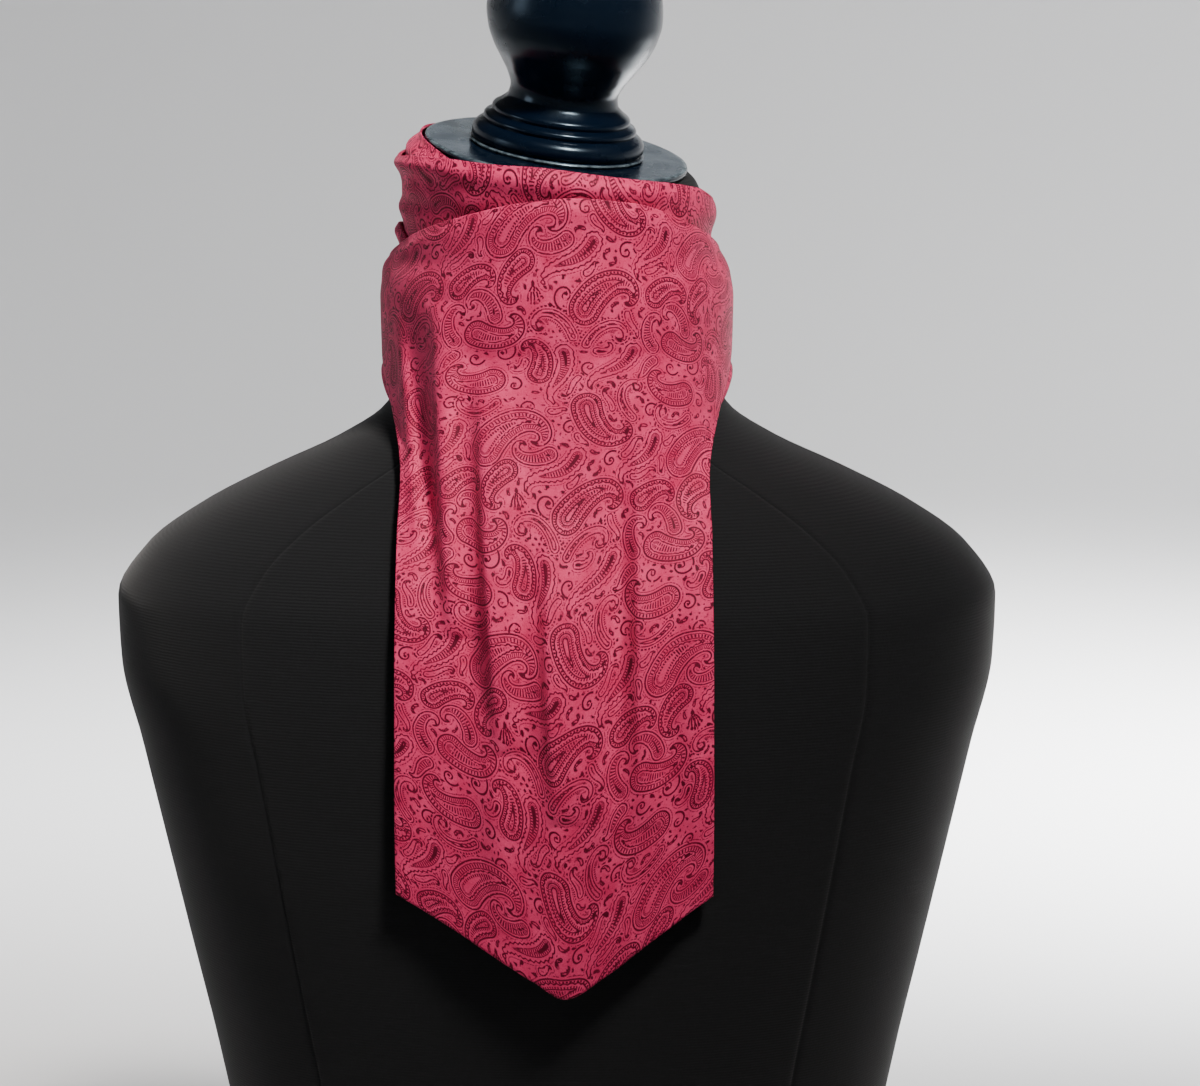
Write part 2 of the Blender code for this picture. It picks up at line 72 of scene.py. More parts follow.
# Where each piece's outer face stands off the form, as in the CAD.
INNER_CLEAR = 2.2
OUTER_CLEAR = 5.08
SIDE_CLEAR = 4.73
UNDER_REST = 2.85
BETWEEN_BLADES = 3.8

FORM_COLUMNS = ("drop", "half_width", "front", "back", "squareness")
FORM_SECTIONS = (
    (3.5, 50.0, 50.0, 50.0, 2.0),
    (4.4, 55.0, 55.0, 55.0, 2.0),
    (7.0, 58.4, 58.4, 58.4, 2.0),
    (11.0, 59.8, 59.8, 59.8, 2.0),
    (17.0, 60.0, 60.0, 60.0, 2.0),
    (45.0, 60.0, 58.0, 62.0, 2.0),
    (75.0, 62.0, 57.0, 68.0, 2.0),
    (94.0, 64.5, 58.0, 74.0, 2.0),
    (108.0, 73.0, 60.0, 81.0, 2.05),
    (122.0, 94.0, 66.0, 88.0, 2.2),
    (136.0, 124.0, 75.0, 93.0, 2.35),
    (150.0, 151.0, 84.0, 97.0, 2.45),
    (166.0, 173.0, 93.0, 100.0, 2.5),
    (184.0, 184.0, 101.0, 102.0, 2.55),
    (210.0, 183.0, 107.0, 103.0, 2.55),
    (245.0, 175.0, 112.0, 102.0, 2.5),
    (285.0, 166.0, 114.0, 99.0, 2.45),
    (330.0, 156.0, 110.0, 94.0, 2.4),
    (380.0, 145.0, 101.0, 89.0, 2.35),
    (430.0, 136.0, 93.0, 85.0, 2.3),
    (475.0, 132.0, 89.0, 83.0, 2.3),
    (505.0, 133.0, 90.0, 84.0, 2.3),
)
NECK_TOP, WAIST_DROP = FORM_SECTIONS[0][0], FORM_SECTIONS[-1][0]

# The stretches of cloth: whether the piece closes on itself, the rows and columns of its
# grid, its wall, the radius at which its free upper edge turns over and how many rows of
# the face go down again behind it (none where the edge is plain), and the place of its
# middle in the print with its turn there in degrees.
CLOTH_COLUMNS = ("piece", "closed", "rows", "columns", "wall", "roll", "leg",
                 "print_x", "print_y", "print_turn")
CLOTH = (
    ("neckband_inner", True, 34, 360, 0.5, 0.5, 9, 20.0, 40.0, 90.0),
    ("neckband_outer", True, 60, 400, 0.6, 0.8, 14, 60.0, 20.0, 90.0),
    ("side_wrap", False, 32, 330, 0.6, 0.7, 12, 10.0, 70.0, 90.0),
    ("front_blade", False, 258, 172, 0.6, 0.8, 9, 44.0, 30.0, 4.0),
    ("under_blade", False, 210, 130, 0.6, 0.0, 0, 12.0, 66.0, -6.0),
)

# The cloth's small unevenness: its height, how many times shorter it is down the cloth than
# along it, its size and the seed that draws its waves.
RIPPLE_COLUMNS = ("name", "height", "shorter", "size", "seed")
RIPPLES = (
    ("neckband_inner", 0.15, 1.0, 14.0, 3),
    ("neckband_outer", 0.25, 2.2, 26.0, 5),
    ("side_wrap", 0.2, 2.0, 24.0, 8),
    ("front_blade", 0.45, 0.4, 24.0, 21),
    ("front_blade_fine", 0.10, 0.7, 8.0, 22),
)
RIPPLE_WAVES, RIPPLE_SPREAD = 7, (0.7, 1.5)     # their number, and their sizes in shares of it

BAND_COLUMNS = ("azimuth", "top", "bottom")
INNER_BAND_EDGES = (
    (0.0, 8.0, 34.0),
    (60.0, 12.0, 34.0),
    (110.0, 16.0, 36.0),
    (160.0, 10.0, 40.0),
    (200.0, 6.8, 40.0),
    (228.0, 4.6, 39.0),
    (258.0, 1.2, 38.0),
    (285.0, 1.0, 34.0),
    (320.0, 3.6, 34.0),
)
OUTER_BAND_EDGES = (
    (0.0, -4.4, 48.0),
    (34.0, -2.6, 48.0),
    (62.0, 2.2, 46.0),
    (82.0, 10.5, 45.0),
    (110.0, 14.0, 45.0),
    (150.0, 14.5, 45.0),
    (195.0, 14.5, 44.0),
    (240.0, 14.0, 42.0),
    (272.0, 12.0, 39.0),
    (298.0, 5.4, 40.0),
    (316.0, 1.2, 43.0),
    (336.0, -1.6, 48.0),
)
SIDE_WRAP_EDGES = (
    (0.0, 49.5, 74.0),
    (60.0, 47.3, 72.0),
    (90.0, 46.2, 69.0),
    (150.0, 46.1, 65.0),
    (195.0, 45.1, 64.0),
    (240.0, 43.3, 64.0),
    (276.0, 38.2, 66.0),
    (284.0, 39.4, 68.0),
    (292.0, 43.0, 70.0),
    (302.0, 47.0, 72.0),
    (320.0, 49.3, 73.0),
)

# Pleats across the turns: each runs from one azimuth and share of the turn's height to
# another, stands out by its height (or in, below 0) and dies away at its ends.
PLEAT_COLUMNS = ("start", "end", "share_start", "share_end", "height", "width")
INNER_BAND_PLEATS = (
    (150.0, 300.0, 0.30, 0.22, 0.5, 0.16),
)
OUTER_BAND_PLEATS = (
    (228.0, 330.0, 0.06, 0.10, 1.7, 0.12),
    (250.0, 350.0, 0.55, 0.30, 1.3, 0.11),
    (245.0, 330.0, 0.80, 0.56, 0.9, 0.10),
    (230.0, 345.0, 1.0, 1.0, -1.6, 0.20),
    (30.0, 135.0, 0.30, 0.16, 1.2, 0.12),
    (55.0, 170.0, 0.72, 0.55, 1.3, 0.12),
    (120.0, 262.0, 0.20, 0.34, 1.3, 0.11),
    (140.0, 285.0, 0.74, 0.66, 1.1, 0.12),
)
SIDE_WRAP_PLEATS = (
    (215.0, 290.0, 0.10, 0.07, 3.4, 0.14),
    (95.0, 262.0, 0.30, 0.45, 1.4, 0.20),
)
PLEAT_FADE = 0.8            # power of the half sine that a pleat's height follows along it

# Swells (height above 0) and hollows (below 0) that go all the way round a turn: the height,
# what is added to it in front and at the right, the share of the turn's height that they are
# at, and their width in the same shares.
SWELL_COLUMNS = ("height", "in_front", "at_right", "share", "width")
OUTER_BAND_SWELLS = (
    (0.6, 1.4, 0.0, 0.10, 0.10),
    (-1.9, 0.0, 0.9, 0.50, 0.20),
    (-0.4, -0.8, 0.0, 0.0, 0.035),
)
SIDE_WRAP_SWELLS = (
    (-0.6, 0.0, 0.0, 0.0, 0.05),
)
FRONT_REACH, RIGHT_REACH = 50.0, 45.0   # degrees to either side that count as there

BLADE_COLUMNS = ("drop", "across", "deep", "centre", "spread")
FRONT_BLADE_SECTIONS = (
    (14.0, 70.0, 71.0, 1.5, 88.0),
    (30.0, 69.0, 73.1, 3.0, 90.0),
    (42.0, 68.8, 75.6, 4.0, 91.0),
    (52.0, 72.2, 78.6, 5.0, 93.0),
    (62.0, 73.8, 81.2, 6.0, 94.0),
    (76.0, 73.6, 83.0, 6.5, 91.0),
    (90.0, 73.0, 82.2, 2.0, 80.0),
    (104.0, 72.4, 77.0, -7.0, 68.0),
    (122.0, 73.0, 67.0, -22.0, 59.0),
    (148.0, 77.0, 55.0, -43.0, 54.5),
    (180.0, 86.0, 47.0, -62.0, 47.0),
    (220.0, 98.0, 45.0, -73.5, 40.0),
    (260.0, 106.0, 45.0, -78.0, 36.5),
    (300.0, 112.0, 45.0, -78.0, 34.0),
    (345.0, 116.0, 45.0, -74.0, 32.5),
)
SPREAD_COLUMNS = ("drop", "spread")
UNDER_BLADE_SPREAD = (
    (70.0, 78.0),
    (80.0, 88.0),
    (90.0, 91.0),
    (99.0, 84.0),
    (110.0, 68.0),
    (126.0, 56.0),
    (150.0, 50.0),
    (180.0, 43.0),
    (220.0, 36.0),
    (260.0, 32.0),
    (320.0, 28.0),
)
FLARE = 4.8                 # how far the under blade's edges stand out beside the neck
FLARE_DROP, FLARE_REACH = 91.0, 13.0
FLARE_BEGINS, FLARE_FULL = 2.0, 14.0        # degrees past the edge of the end above it
EDGE_COLUMNS = ("share", "top", "bottom")
FRONT_BLADE_EDGES = (
    (-1.0, 46.0, 287.0),
    (-0.85, 40.5, 292.0),
    (-0.60, 31.5, 301.0),
    (-0.37, 24.6, 311.0),
    (-0.12, 18.6, 322.0),
    (0.06, 16.8, 329.0),
    (0.32, 19.4, 319.0),
    (0.58, 28.3, 306.0),
    (0.85, 37.7, 294.0),
    (1.0, 43.0, 288.0),
)
UNDER_BLADE_EDGES = (
    (-1.0, 78.0, 268.0),
    (-0.5, 77.5, 287.0),
    (0.0, 77.0, 306.0),
    (0.5, 77.5, 288.0),
    (1.0, 78.0, 270.0),
)

# Hanging folds: a row is a soft trough (depth above 0) or ridge (below 0) down the cloth,
# with its own width on either side.
FOLD_COLUMNS = ("x_top", "drop_top", "x_bottom", "drop_bottom", "depth", "left", "right")
FRONT_BLADE_FOLDS = (
    (-64.5, 64.0, -53.0, 155.0, -5.2, 3.5, 3.0),
    (-58.0, 64.0, -47.0, 178.0, 2.4, 4.5, 3.0),
    (-47.4, 58.0, -38.2, 186.0, -10.8, 5.0, 8.0),
    (-38.5, 92.0, -32.0, 216.0, 2.0, 4.5, 3.0),
    (-28.4, 84.0, -19.8, 230.0, -9.8, 5.0, 13.0),
    (-14.0, 136.0, -9.5, 250.0, 1.9, 6.0, 3.0),
    (-2.0, 140.0, 2.0, 258.0, -7.0, 4.6, 11.0),
    (26.0, 84.0, 26.0, 256.0, 2.0, 5.5, 2.4),
    (34.5, 84.0, 35.0, 260.0, -5.8, 4.2, 11.0),
    (47.0, 150.0, 44.0, 262.0, 1.5, 6.5, 5.0),
    (57.0, 96.0, 55.0, 270.0, -3.0, 6.0, 6.0),
    (-24.0, 215.0, -19.0, 302.0, -2.2, 7.0, 7.0),
    (8.0, 205.0, 10.0, 304.0, 1.6, 7.0, 7.0),
)
FOLD_LEAN = 0.20            # mm to -X for each mm that a ridge stands out
FOLD_FADE = 0.7             # power of the half sine that a fold's depth follows along it

# The fold at the front blade's top: how far it rolls in at its edge, and where the ends of
# its arch lift off the turns below, in shares of the half width.
TOP_ROLL, TOP_ROLL_REACH = 1.5, 2.6
LIFT_COLUMNS = ("height", "share", "width")
ARCH_LIFTS = (
    (2.0, -0.95, 0.15),
    (0.6, 0.97, 0.12),
)
LIFT_DROP, LIFT_REACH = 44.0, 8.0
EVEN_TO, UNEVEN_FROM = 20.0, 60.0   # drops between which the blade's unevenness grows

# The turned pieces' profiles, from the top down: radius, height above the cap, and 1 where
# the profile has a corner.
TURNED_COLUMNS = ("radius", "height", "corner")
FINIAL_PROFILE = (
    (0.0, 97.5, 0),
    (5.5, 96.6, 0),
    (10.2, 93.6, 0),
    (11.6, 90.6, 0),
    (10.6, 88.0, 1),
    (12.6, 86.8, 0),
    (20.0, 84.2, 0),
    (27.5, 79.0, 0),
    (33.0, 71.5, 0),
    (35.6, 63.5, 0),
    (36.3, 56.5, 0),
    (35.0, 49.0, 0),
    (31.8, 41.5, 0),
    (27.6, 35.0, 0),
    (24.2, 29.5, 0),
    (22.4, 24.4, 0),
    (22.9, 21.0, 0),
    (25.4, 18.2, 0),
    (27.2, 16.9, 1),
    (28.3, 16.2, 0),
    (28.9, 14.9, 0),
    (28.4, 13.6, 1),
    (29.8, 12.9, 0),
    (31.3, 12.3, 0),
    (31.9, 11.0, 0),
    (31.4, 9.7, 1),
    (32.4, 9.2, 0),
    (34.4, 8.0, 0),
    (35.8, 5.6, 0),
    (35.9, 3.6, 0),
    (35.0, 2.0, 1),
    (36.1, 1.6, 0),
    (36.4, 1.0, 0),
    (35.9, 0.3, 1),
    (0.0, 0.3, 1),
)
CAP_PROFILE = (
    (0.0, 0.0, 0),
    (CAP_RADIUS - 1.4, 0.0, 1),
    (CAP_RADIUS - 0.4, -0.35, 0),
    (CAP_RADIUS, -1.3, 0),
    (CAP_RADIUS - 0.3, -2.4, 0),
    (CAP_RADIUS - 1.2, -CAP_THICKNESS, 1),
    (0.0, -CAP_THICKNESS, 1),
)
TURNED_STEPS = 144
PROFILE_STEP = 0.9          # mm along the profile
CORNER = 38.0               # degrees past which an edge stays sharp

# The jersey cover's seams, by azimuth, and how far off one its groove gets points, in degrees.
SEAMS = (38.0, 96.0, 142.0, 180.0, 218.0, 264.0, 322.0)
SEAM_POINTS = (-1.3, -0.6, -0.3, 0.0, 0.3, 0.6, 1.3)
SEAM_DEPTH, SEAM_WIDTH = 0.55, 0.45         # mm deep, degrees wide
SEAM_NONE, SEAM_FULL = 70.0, 130.0          # drops between which the grooves grow
TOP_ROUNDS_TO = 20.0        # drop above which the torso's rows are closer

BOARD_ROUND = 2.5
BOARD_STEPS = 6


def column(rows, names, wanted):
    """One named column of a table, as an array."""
    return np.array([row[names.index(wanted)] for row in rows], dtype=float)


def named(rows, names):
    """A table's rows, each as a dictionary of its named columns."""
    return [dict(zip(names, row)) for row in rows]


def keyed(rows, names):
    """The same rows, each under what its first column holds."""
    return {row[0]: dict(zip(names, row)) for row in rows}


def curve_through(known, values, places):
    """A smooth curve through (known, values): cubic Hermite spans whose slopes are the
    harmonic mean of their neighbours', and zero at a turning point, so nothing overshoots."""
    steps = np.diff(known)
    rises = np.diff(values) / steps
    before, after = rises[:-1], rises[1:]
    same_way = before * after > 0
    total = np.where(same_way, before + after, 1.0)
    inner = np.where(same_way, 2 * before * after / total, 0.0)
    slopes = np.concatenate(([rises[0]], inner, [rises[-1]]))
    places = np.clip(places, known[0], known[-1])
    span = np.clip(np.searchsorted(known, places, side="right") - 1, 0, len(steps) - 1)
    t = (places - known[span]) / steps[span]
    rise = values[span + 1] - values[span]
    start = slopes[span] * steps[span]
    finish = slopes[span + 1] * steps[span]
    return values[span] + t * (
        start + t * ((3 * rise - 2 * start - finish) + t * (start + finish - 2 * rise))
    )


def lookup(rows, names, wanted, places):
    """A column of a table as a smooth function of the table's first column."""
    return curve_through(column(rows, names, names[0]), column(rows, names, wanted), places)


def lookup_round(rows, names, wanted, azimuths):
    """The same for a table that closes on itself after 360 degrees."""
    around = column(rows, names, names[0])
    values = column(rows, names, wanted)
    around = np.concatenate((around - 360.0, around, around + 360.0))
    return curve_through(around, np.tile(values, 3), np.mod(azimuths, 360.0))


def smooth_step(low, high, places):
    """0 below low, 1 above high and an S-curve between."""
    t = np.clip((places - low) / (high - low), 0.0, 1.0)
    return t * t * (3 - 2 * t)


def bell(places, middle, width):
    """1 at the middle, and 1/e at the width to either side of it."""
    return np.exp(-(((places - middle) / width) ** 2))


def tilted(x, y, drop):
    """Height of a point: the neck's top slants to +X and to the front, which fades below."""
    slant = y * math.tan(math.radians(CAP_PITCH)) - x * math.tan(math.radians(CAP_ROLL))
    return -drop + slant * (1 - smooth_step(TILT_FULL, TILT_NONE, drop))


def form_section(drop, out):
    """The form's half width, front and back at a drop, moved outward, and its squareness."""
    half_width, front, back, squareness = (
        lookup(FORM_SECTIONS, FORM_COLUMNS, wanted, drop) for wanted in FORM_COLUMNS[1:]
    )
    return half_width + out, front + out, back + out, squareness


def form_point(azimuth, drop, out):
    """A point of the form's surface, moved outward: a superellipse at each drop."""
    half_width, front, back, squareness = form_section(drop, out)
    power = 2 / squareness
    sine, cosine = np.sin(np.radians(azimuth)), np.cos(np.radians(azimuth))
    x = half_width * np.sign(sine) * np.abs(sine) ** power
    reach = np.where(cosine > 0, front, back)
    y = -reach * np.sign(cosine) * np.abs(cosine) ** power
    return x, y


def form_front(x, drop, out):
    """How far the form's front, moved outward, reaches at x, and 0 beside the neck. Where the
    shoulders slope it is moved further, so that the gap square to the slope is kept."""
    out = out * (1 + SLOPE_ROOM * (1 - smooth_step(SLOPE_STARTS, SLOPE_ENDS, drop)))
    half_width, front, _, power = form_section(drop, out)
    inside = np.clip(1 - np.abs(x / half_width) ** power, 0.0, 1.0)
    return front * inside ** (1 / power)


def pleat_relief(pleats, azimuth, share):
    """How far the pleats stand out: a bell across each, fading along it to nothing."""
    relief = np.zeros_like(azimuth)
    for pleat in named(pleats, PLEAT_COLUMNS):
        length = pleat["end"] - pleat["start"]
        along = np.clip((azimuth - pleat["start"]) / length, 0.0, 1.0)
        middle = pleat["share_start"] + (pleat["share_end"] - pleat["share_start"]) * along
        fade = np.sin(math.pi * along) ** PLEAT_FADE
        relief += pleat["height"] * bell(share, middle, pleat["width"]) * fade
    return relief


def fold_relief(folds, x, drop):
    """How far the folds sink in, in the same way, along lines that run down the cloth."""
    relief = np.zeros_like(x)
    for fold in named(folds, FOLD_COLUMNS):
        length = fold["drop_bottom"] - fold["drop_top"]
        along = np.clip((drop - fold["drop_top"]) / length, 0.0, 1.0)
        middle = fold["x_top"] + (fold["x_bottom"] - fold["x_top"]) * along
        width = np.where(x < middle, fold["left"], fold["right"])
        fade = np.sin(math.pi * along) ** FOLD_FADE
        relief += fold["depth"] * bell(x, middle, width) * fade
    return relief


def unevenness(name, along, drop):
    """Small unevenness of cloth: plane waves of about one size, whose directions, phases and
    scales are drawn from a seed, times the height of the named row."""
    row = keyed(RIPPLES, RIPPLE_COLUMNS)[name]
    draw = np.random.default_rng(row["seed"])
    limits = ((0, math.pi), (0, 2 * math.pi), RIPPLE_SPREAD)
    down = drop * row["shorter"]
    total = np.zeros_like(along)
    for turn, phase, scale in zip(*(draw.uniform(*limit, RIPPLE_WAVES) for limit in limits)):
        wave = 2 * math.pi / (row["size"] * scale)
        total += np.sin((along * math.cos(turn) + down * math.sin(turn)) * wave + phase)
    return row["height"] * (total / RIPPLE_WAVES)


# ---------------------------------------------------------------- the printed paisley

TILE = np.array((84.0, 91.0))       # mm, the print's repeat
CELL = 0.5                  # mm, the cells in which the nearest motif is looked up
FAR = 1e9                   # mm, farther than anything in the print
NO_INK = 9.0                # mm, a distance at which nothing prints
SPINE_STEPS = 36
HOOK_POWER = 4              # power of the place along the spine that the hook grows with
TAPER, BELLY = 1.05, 0.85   # power at which a motif narrows, and how much it swells first
TIP_RADIUS = 0.2            # mm

# The motifs with a bent spine: style, length along the spine, widest width, how much the
# spine bends over all and how much its tip hooks (both in degrees), number of tries and most
# that are kept. Styles 0 to 2 are teardrops filled with lines, scallops and rows of dashes, 3
# is a plainer one, 4 a leaf with a core, 5 a seed, 6 a leaf with a scalloped edge and 7 a
# tendril. Each row is set in turn where there is room: first the large ones, then the small
# drawn ones of SMALL_MOTIFS, then the commas.
MOTIF_COLUMNS = ("style", "length", "width", "bend", "hook", "tries", "most")
LARGE_MOTIFS = (
    (0, 40.0, 14.0, 90.0, 210.0, 300, 1),
    (1, 34.0, 12.0, 80.0, 220.0, 500, 2),
    (2, 28.0, 10.4, 80.0, 190.0, 800, 2),
    (1, 23.0, 8.8, 65.0, 200.0, 1200, 3),
    (6, 29.0, 7.2, 120.0, -220.0, 3500, 4),
    (7, 33.0, 3.4, 120.0, 380.0, 3500, 4),
    (3, 23.0, 5.8, 100.0, 230.0, 3500, 5),
)
COMMAS = (
    (7, 22.0, 2.8, 110.0, 360.0, 4500, 8),
    (6, 16.0, 5.2, 100.0, 210.0, 4000, 6),
    (3, 12.5, 4.4, 90.0, -200.0, 4500, 10),
    (7, 14.0, 2.2, 100.0, -330.0, 6000, 18),
    (4, 10.5, 3.0, 100.0, 200.0, 6000, 26),
    (4, 7.5, 2.4, 110.0, -210.0, 5000, 30),
    (5, 6.0, 1.3, 90.0, 170.0, 4500, 30),
    (5, 4.2, 1.0, 60.0, 90.0, 4500, 60),
)

# The small motifs that are drawn with arcs and drops: sort, size, tries and most.
SMALL_COLUMNS = ("sort", "size", "tries", "most")
SMALL_MOTIFS = (
    ("curl", 10.5, 900, 5),
    ("curl", 7.5, 1200, 7),
    ("spray", 15.0, 700, 3),
    ("fan", 10.0, 500, 2),
    ("spray", 11.0, 700, 3),
    ("flower", 3.2, 200, 3),
)
ARC_CLEAR, DROP_CLEAR = 0.9, 0.5        # mm off an outline where arcs and drops may print
SPECKS = 3200               # tries at placing a small seed or dot in what is left bare
SPECK_LEAST, SPECK_MOST = 0.42, 1.3     # mm, their size
MOTIF_ROOM = 0.35           # mm that a motif keeps to what is drawn already
SPECK_ROOM = 0.45           # the same for a speck
HEART_ROOM = 0.5            # what a small motif needs on top at its own place
STITCH_ROOM = 0.4           # what the ink of a motif takes outside its outline
MOTIF_REACH = 9.0           # mm past its length in which a motif can be the nearest
SWAY = 35.0                 # degrees that a motif may turn off the outlines around it
PRINT_SEED = 11

# What a motif of each style is drawn with, from its outline inward: a line at a level (mm,
# negative inside), its half width, and the height and pitch of its scallops.
OUTLINE_COLUMNS = ("style", "level", "half_width", "scallop", "pitch")
OUTLINES = (
    (0, 0.0, 0.35, 0.0, 1.0),
    (0, -1.15, 0.18, 0.0, 1.0),
    (0, -3.1, 0.22, 0.0, 1.0),
    (0, -4.3, 0.33, 0.6, 2.2),
    (1, 0.0, 0.32, 0.0, 1.0),
    (1, -1.95, 0.32, 0.7, 2.4),
    (1, -3.5, 0.24, 0.0, 1.0),
    (1, -5.0, 0.30, 0.0, 1.0),
    (2, 0.0, 0.36, 0.0, 1.0),
    (2, -2.0, 0.19, 0.0, 1.0),
    (2, -3.2, 0.28, 0.5, 1.9),
    (3, 0.0, 0.30, 0.0, 1.0),
    (3, -1.05, 0.16, 0.0, 1.0),
    (3, -2.8, 0.38, 0.0, 1.0),
    (4, -0.1, 0.26, 0.0, 1.0),
    (4, -1.35, 0.40, 0.0, 1.0),
    (5, -0.20, 0.24, 0.0, 1.0),
    (6, -0.7, 0.30, 0.9, 2.3),
    (6, -1.75, 0.18, 0.0, 1.0),
    (6, -3.2, 0.40, 0.0, 1.0),
    (7, -0.05, 0.25, 0.0, 1.0),
    (7, -1.10, 0.22, 0.0, 1.0),
)
# Rows of dashes across the same motifs: their middle level and half length, and in shares of
# the pitch their half width. Levels above 0 are stitches that echo the outline outside it.
DASH_PITCH = 1.15           # mm
DASH_COLUMNS = ("style", "level", "half_length", "half_width")
DASHES = (
    (0, 1.3, 0.17, 0.36),
    (0, -2.1, 0.75, 0.22),
    (0, -5.3, 0.45, 0.30),
    (1, 1.2, 0.16, 0.34),
    (1, -0.85, 0.42, 0.28),
    (1, -2.95, 0.42, 0.25),
    (1, -4.3, 0.30, 0.30),
    (2, 1.25, 0.17, 0.38),
    (2, -1.15, 0.65, 0.23),
    (2, -4.3, 0.55, 0.26),
    (3, 1.1, 0.15, 0.36),
    (3, -1.8, 0.55, 0.26),
    (4, 1.0, 0.14, 0.36),
    (6, 1.3, 0.15, 0.34),
    (7, 1.1, 0.36, 0.30),
    (6, -2.4, 0.45, 0.25),
)


def wrapped(difference, period):
    """A difference of two places in the print, taken the shortest way round the repeat."""
    return (difference + period / 2) % period - period / 2


def spine_of(motif):
    """Points, tangents, radii and lengths along a motif's spine. Its heading turns evenly by
    the bend and then ever faster by the hook; its radius falls from half the width to a
    point."""
    share = np.linspace(0.0, 1.0, SPINE_STEPS)
    hook = motif["hook"] * share ** HOOK_POWER
    heading = np.radians(motif["turn"] + motif["bend"] * share + hook)
    step = motif["length"] / (SPINE_STEPS - 1)
    tangent = np.stack((np.cos(heading), np.sin(heading)), axis=-1)
    path = np.concatenate((np.zeros((1, 2)), np.cumsum(tangent[:-1], axis=0))) * step
    path += np.array((motif["x"], motif["y"])) - path[SPINE_STEPS // 4]
    radius = motif["width"] / 2 * (1 - share) ** TAPER * (1 + BELLY * share) + TIP_RADIUS
    return path, tangent, radius, share * motif["length"]


def motif_fields(x, y, owner, spines):
    """For places in the print and the motif that each belongs to: the distance to its outline
    (negative inside), and how far along the outline, round the heart and up either side."""
    paths, tangents, radii, lengths = spines
    dx = wrapped(x[:, None] - paths[owner, :, 0], TILE[0])
    dy = wrapped(y[:, None] - paths[owner, :, 1], TILE[1])
    reach = np.hypot(dx, dy) - radii[owner]
    near = np.argmin(reach, axis=1)
    pick = np.arange(len(x))
    dx, dy = dx[pick, near], dy[pick, near]
    tx, ty = tangents[owner, near, 0], tangents[owner, near, 1]
    ahead, aside = dx * tx + dy * ty, np.abs(dx * ty - dy * tx)
    round_heart = -np.arctan2(-ahead, np.maximum(aside, 1e-6)) * radii[owner, 0]
    along = np.where((near == 0) & (ahead < 0), round_heart, lengths[owner, near] + ahead)
    return reach[pick, near], along


def turned_by(points, degrees):
    """Points turned about the origin."""
    c, s = math.cos(math.radians(degrees)), math.sin(math.radians(degrees))
    points = np.asarray(points, dtype=float)
    return np.stack((points[..., 0] * c - points[..., 1] * s,
                     points[..., 0] * s + points[..., 1] * c), axis=-1)


def on_circle(degrees):
    """The unit vector at an angle."""
    return np.array((math.cos(math.radians(degrees)), math.sin(math.radians(degrees))))


# The small motifs: lengths are shares of the motif's size, and angles are in degrees.
CURL_TURNS, CURL_START, CURL_SWEEP, CURL_SHRINK = 9, 200.0, 62.0, 0.8
CURL_BUDS = (150.0, 100.0, 50.0, 0.0)
SPRAY_LEAVES = np.linspace(-0.85, 0.8, 6)
FAN_LEANS = (-58.0, -36.0, -15.0, 6.0, 28.0, 50.0)
PETALS = range(0, 360, 60)


def curl(size):
    """A tendril that winds in by arcs that shrink, with a bulb at its heart and buds on its
    back. Returns arcs (x, y, radius, middle, half sweep, half width) and drops (x1, y1, r1,
    x2, y2, r2), as the other small motifs do."""
    arcs, drops = [], []
    centre, radius, angle, half = np.zeros(2), size * 0.5, CURL_START, CURL_SWEEP / 2
    for turn in range(CURL_TURNS):
        arcs.append((*centre, radius, math.radians(angle - half), math.radians(half + 2),
                     0.42 - 0.02 * turn))
        angle -= CURL_SWEEP
        centre = centre + radius * (1 - CURL_SHRINK) * on_circle(angle)
        radius *= CURL_SHRINK
    heart = centre + radius * on_circle(angle)
    drops.append((*heart, size * 0.1, *(heart + (0.25, 0.1)), size * 0.06))
    for at in CURL_BUDS:
        root = on_circle(at) * size * 0.60
        drops.append((*root, size * 0.035, *(root + on_circle(at - 55) * size * 0.2), size * 0.085))
    return arcs, drops


def spray(size):
    """A bent stem with leaves in pairs, the largest in the middle, and one at the tip."""
    arcs, drops = [], []
    radius = size * 1.1
    half = math.degrees(size / 2 / radius)
    arcs.append((0.0, -radius, radius, math.radians(90), math.radians(half), 0.30))
    for at in SPRAY_LEAVES:
        root = on_circle(90 - at * half) * radius + (0.0, -radius)
        leaf = size * (0.29 - 0.11 * abs(at))
        for side in (-1, 1):
            way = on_circle(-at * half + side * (48 - 14 * at))
            start, tip = root + way * 0.5, root + way * leaf
            belly = start * 0.35 + tip * 0.65
            drops.append((*start, 0.2, *belly, leaf * 0.2))
            drops.append((*belly, leaf * 0.2, *tip, 0.15))
    tip = on_circle(90 - half) * radius + (0.0, -radius)
    drops.append((*tip, 0.85, *(tip + on_circle(-half) * 2.2), 0.2))
    return arcs, drops


def fan(size):
    """Curved blades that spring from one foot, with a bud on each."""
    arcs, drops = [], []
    for lean in FAN_LEANS:
        radius = size * (1.3 - 0.012 * abs(lean))
        side = 1 if lean > 0 else -1
        centre = on_circle(lean) * side * radius
        begin = math.atan2(-centre[1], -centre[0])
        sweep = size * (0.62 - 0.0022 * abs(lean)) / radius
        arcs.append((*centre, radius, begin - side * sweep / 2, sweep / 2, 0.36))
        tip = centre + radius * on_circle(math.degrees(begin - side * sweep))
        away = tip / np.linalg.norm(tip)
        drops.append((*tip, 0.5, *(tip + away * 0.9), 0.75))
    drops.append((0.0, -0.4, 0.9, 0.0, -2.4, 0.25))
    return arcs, drops


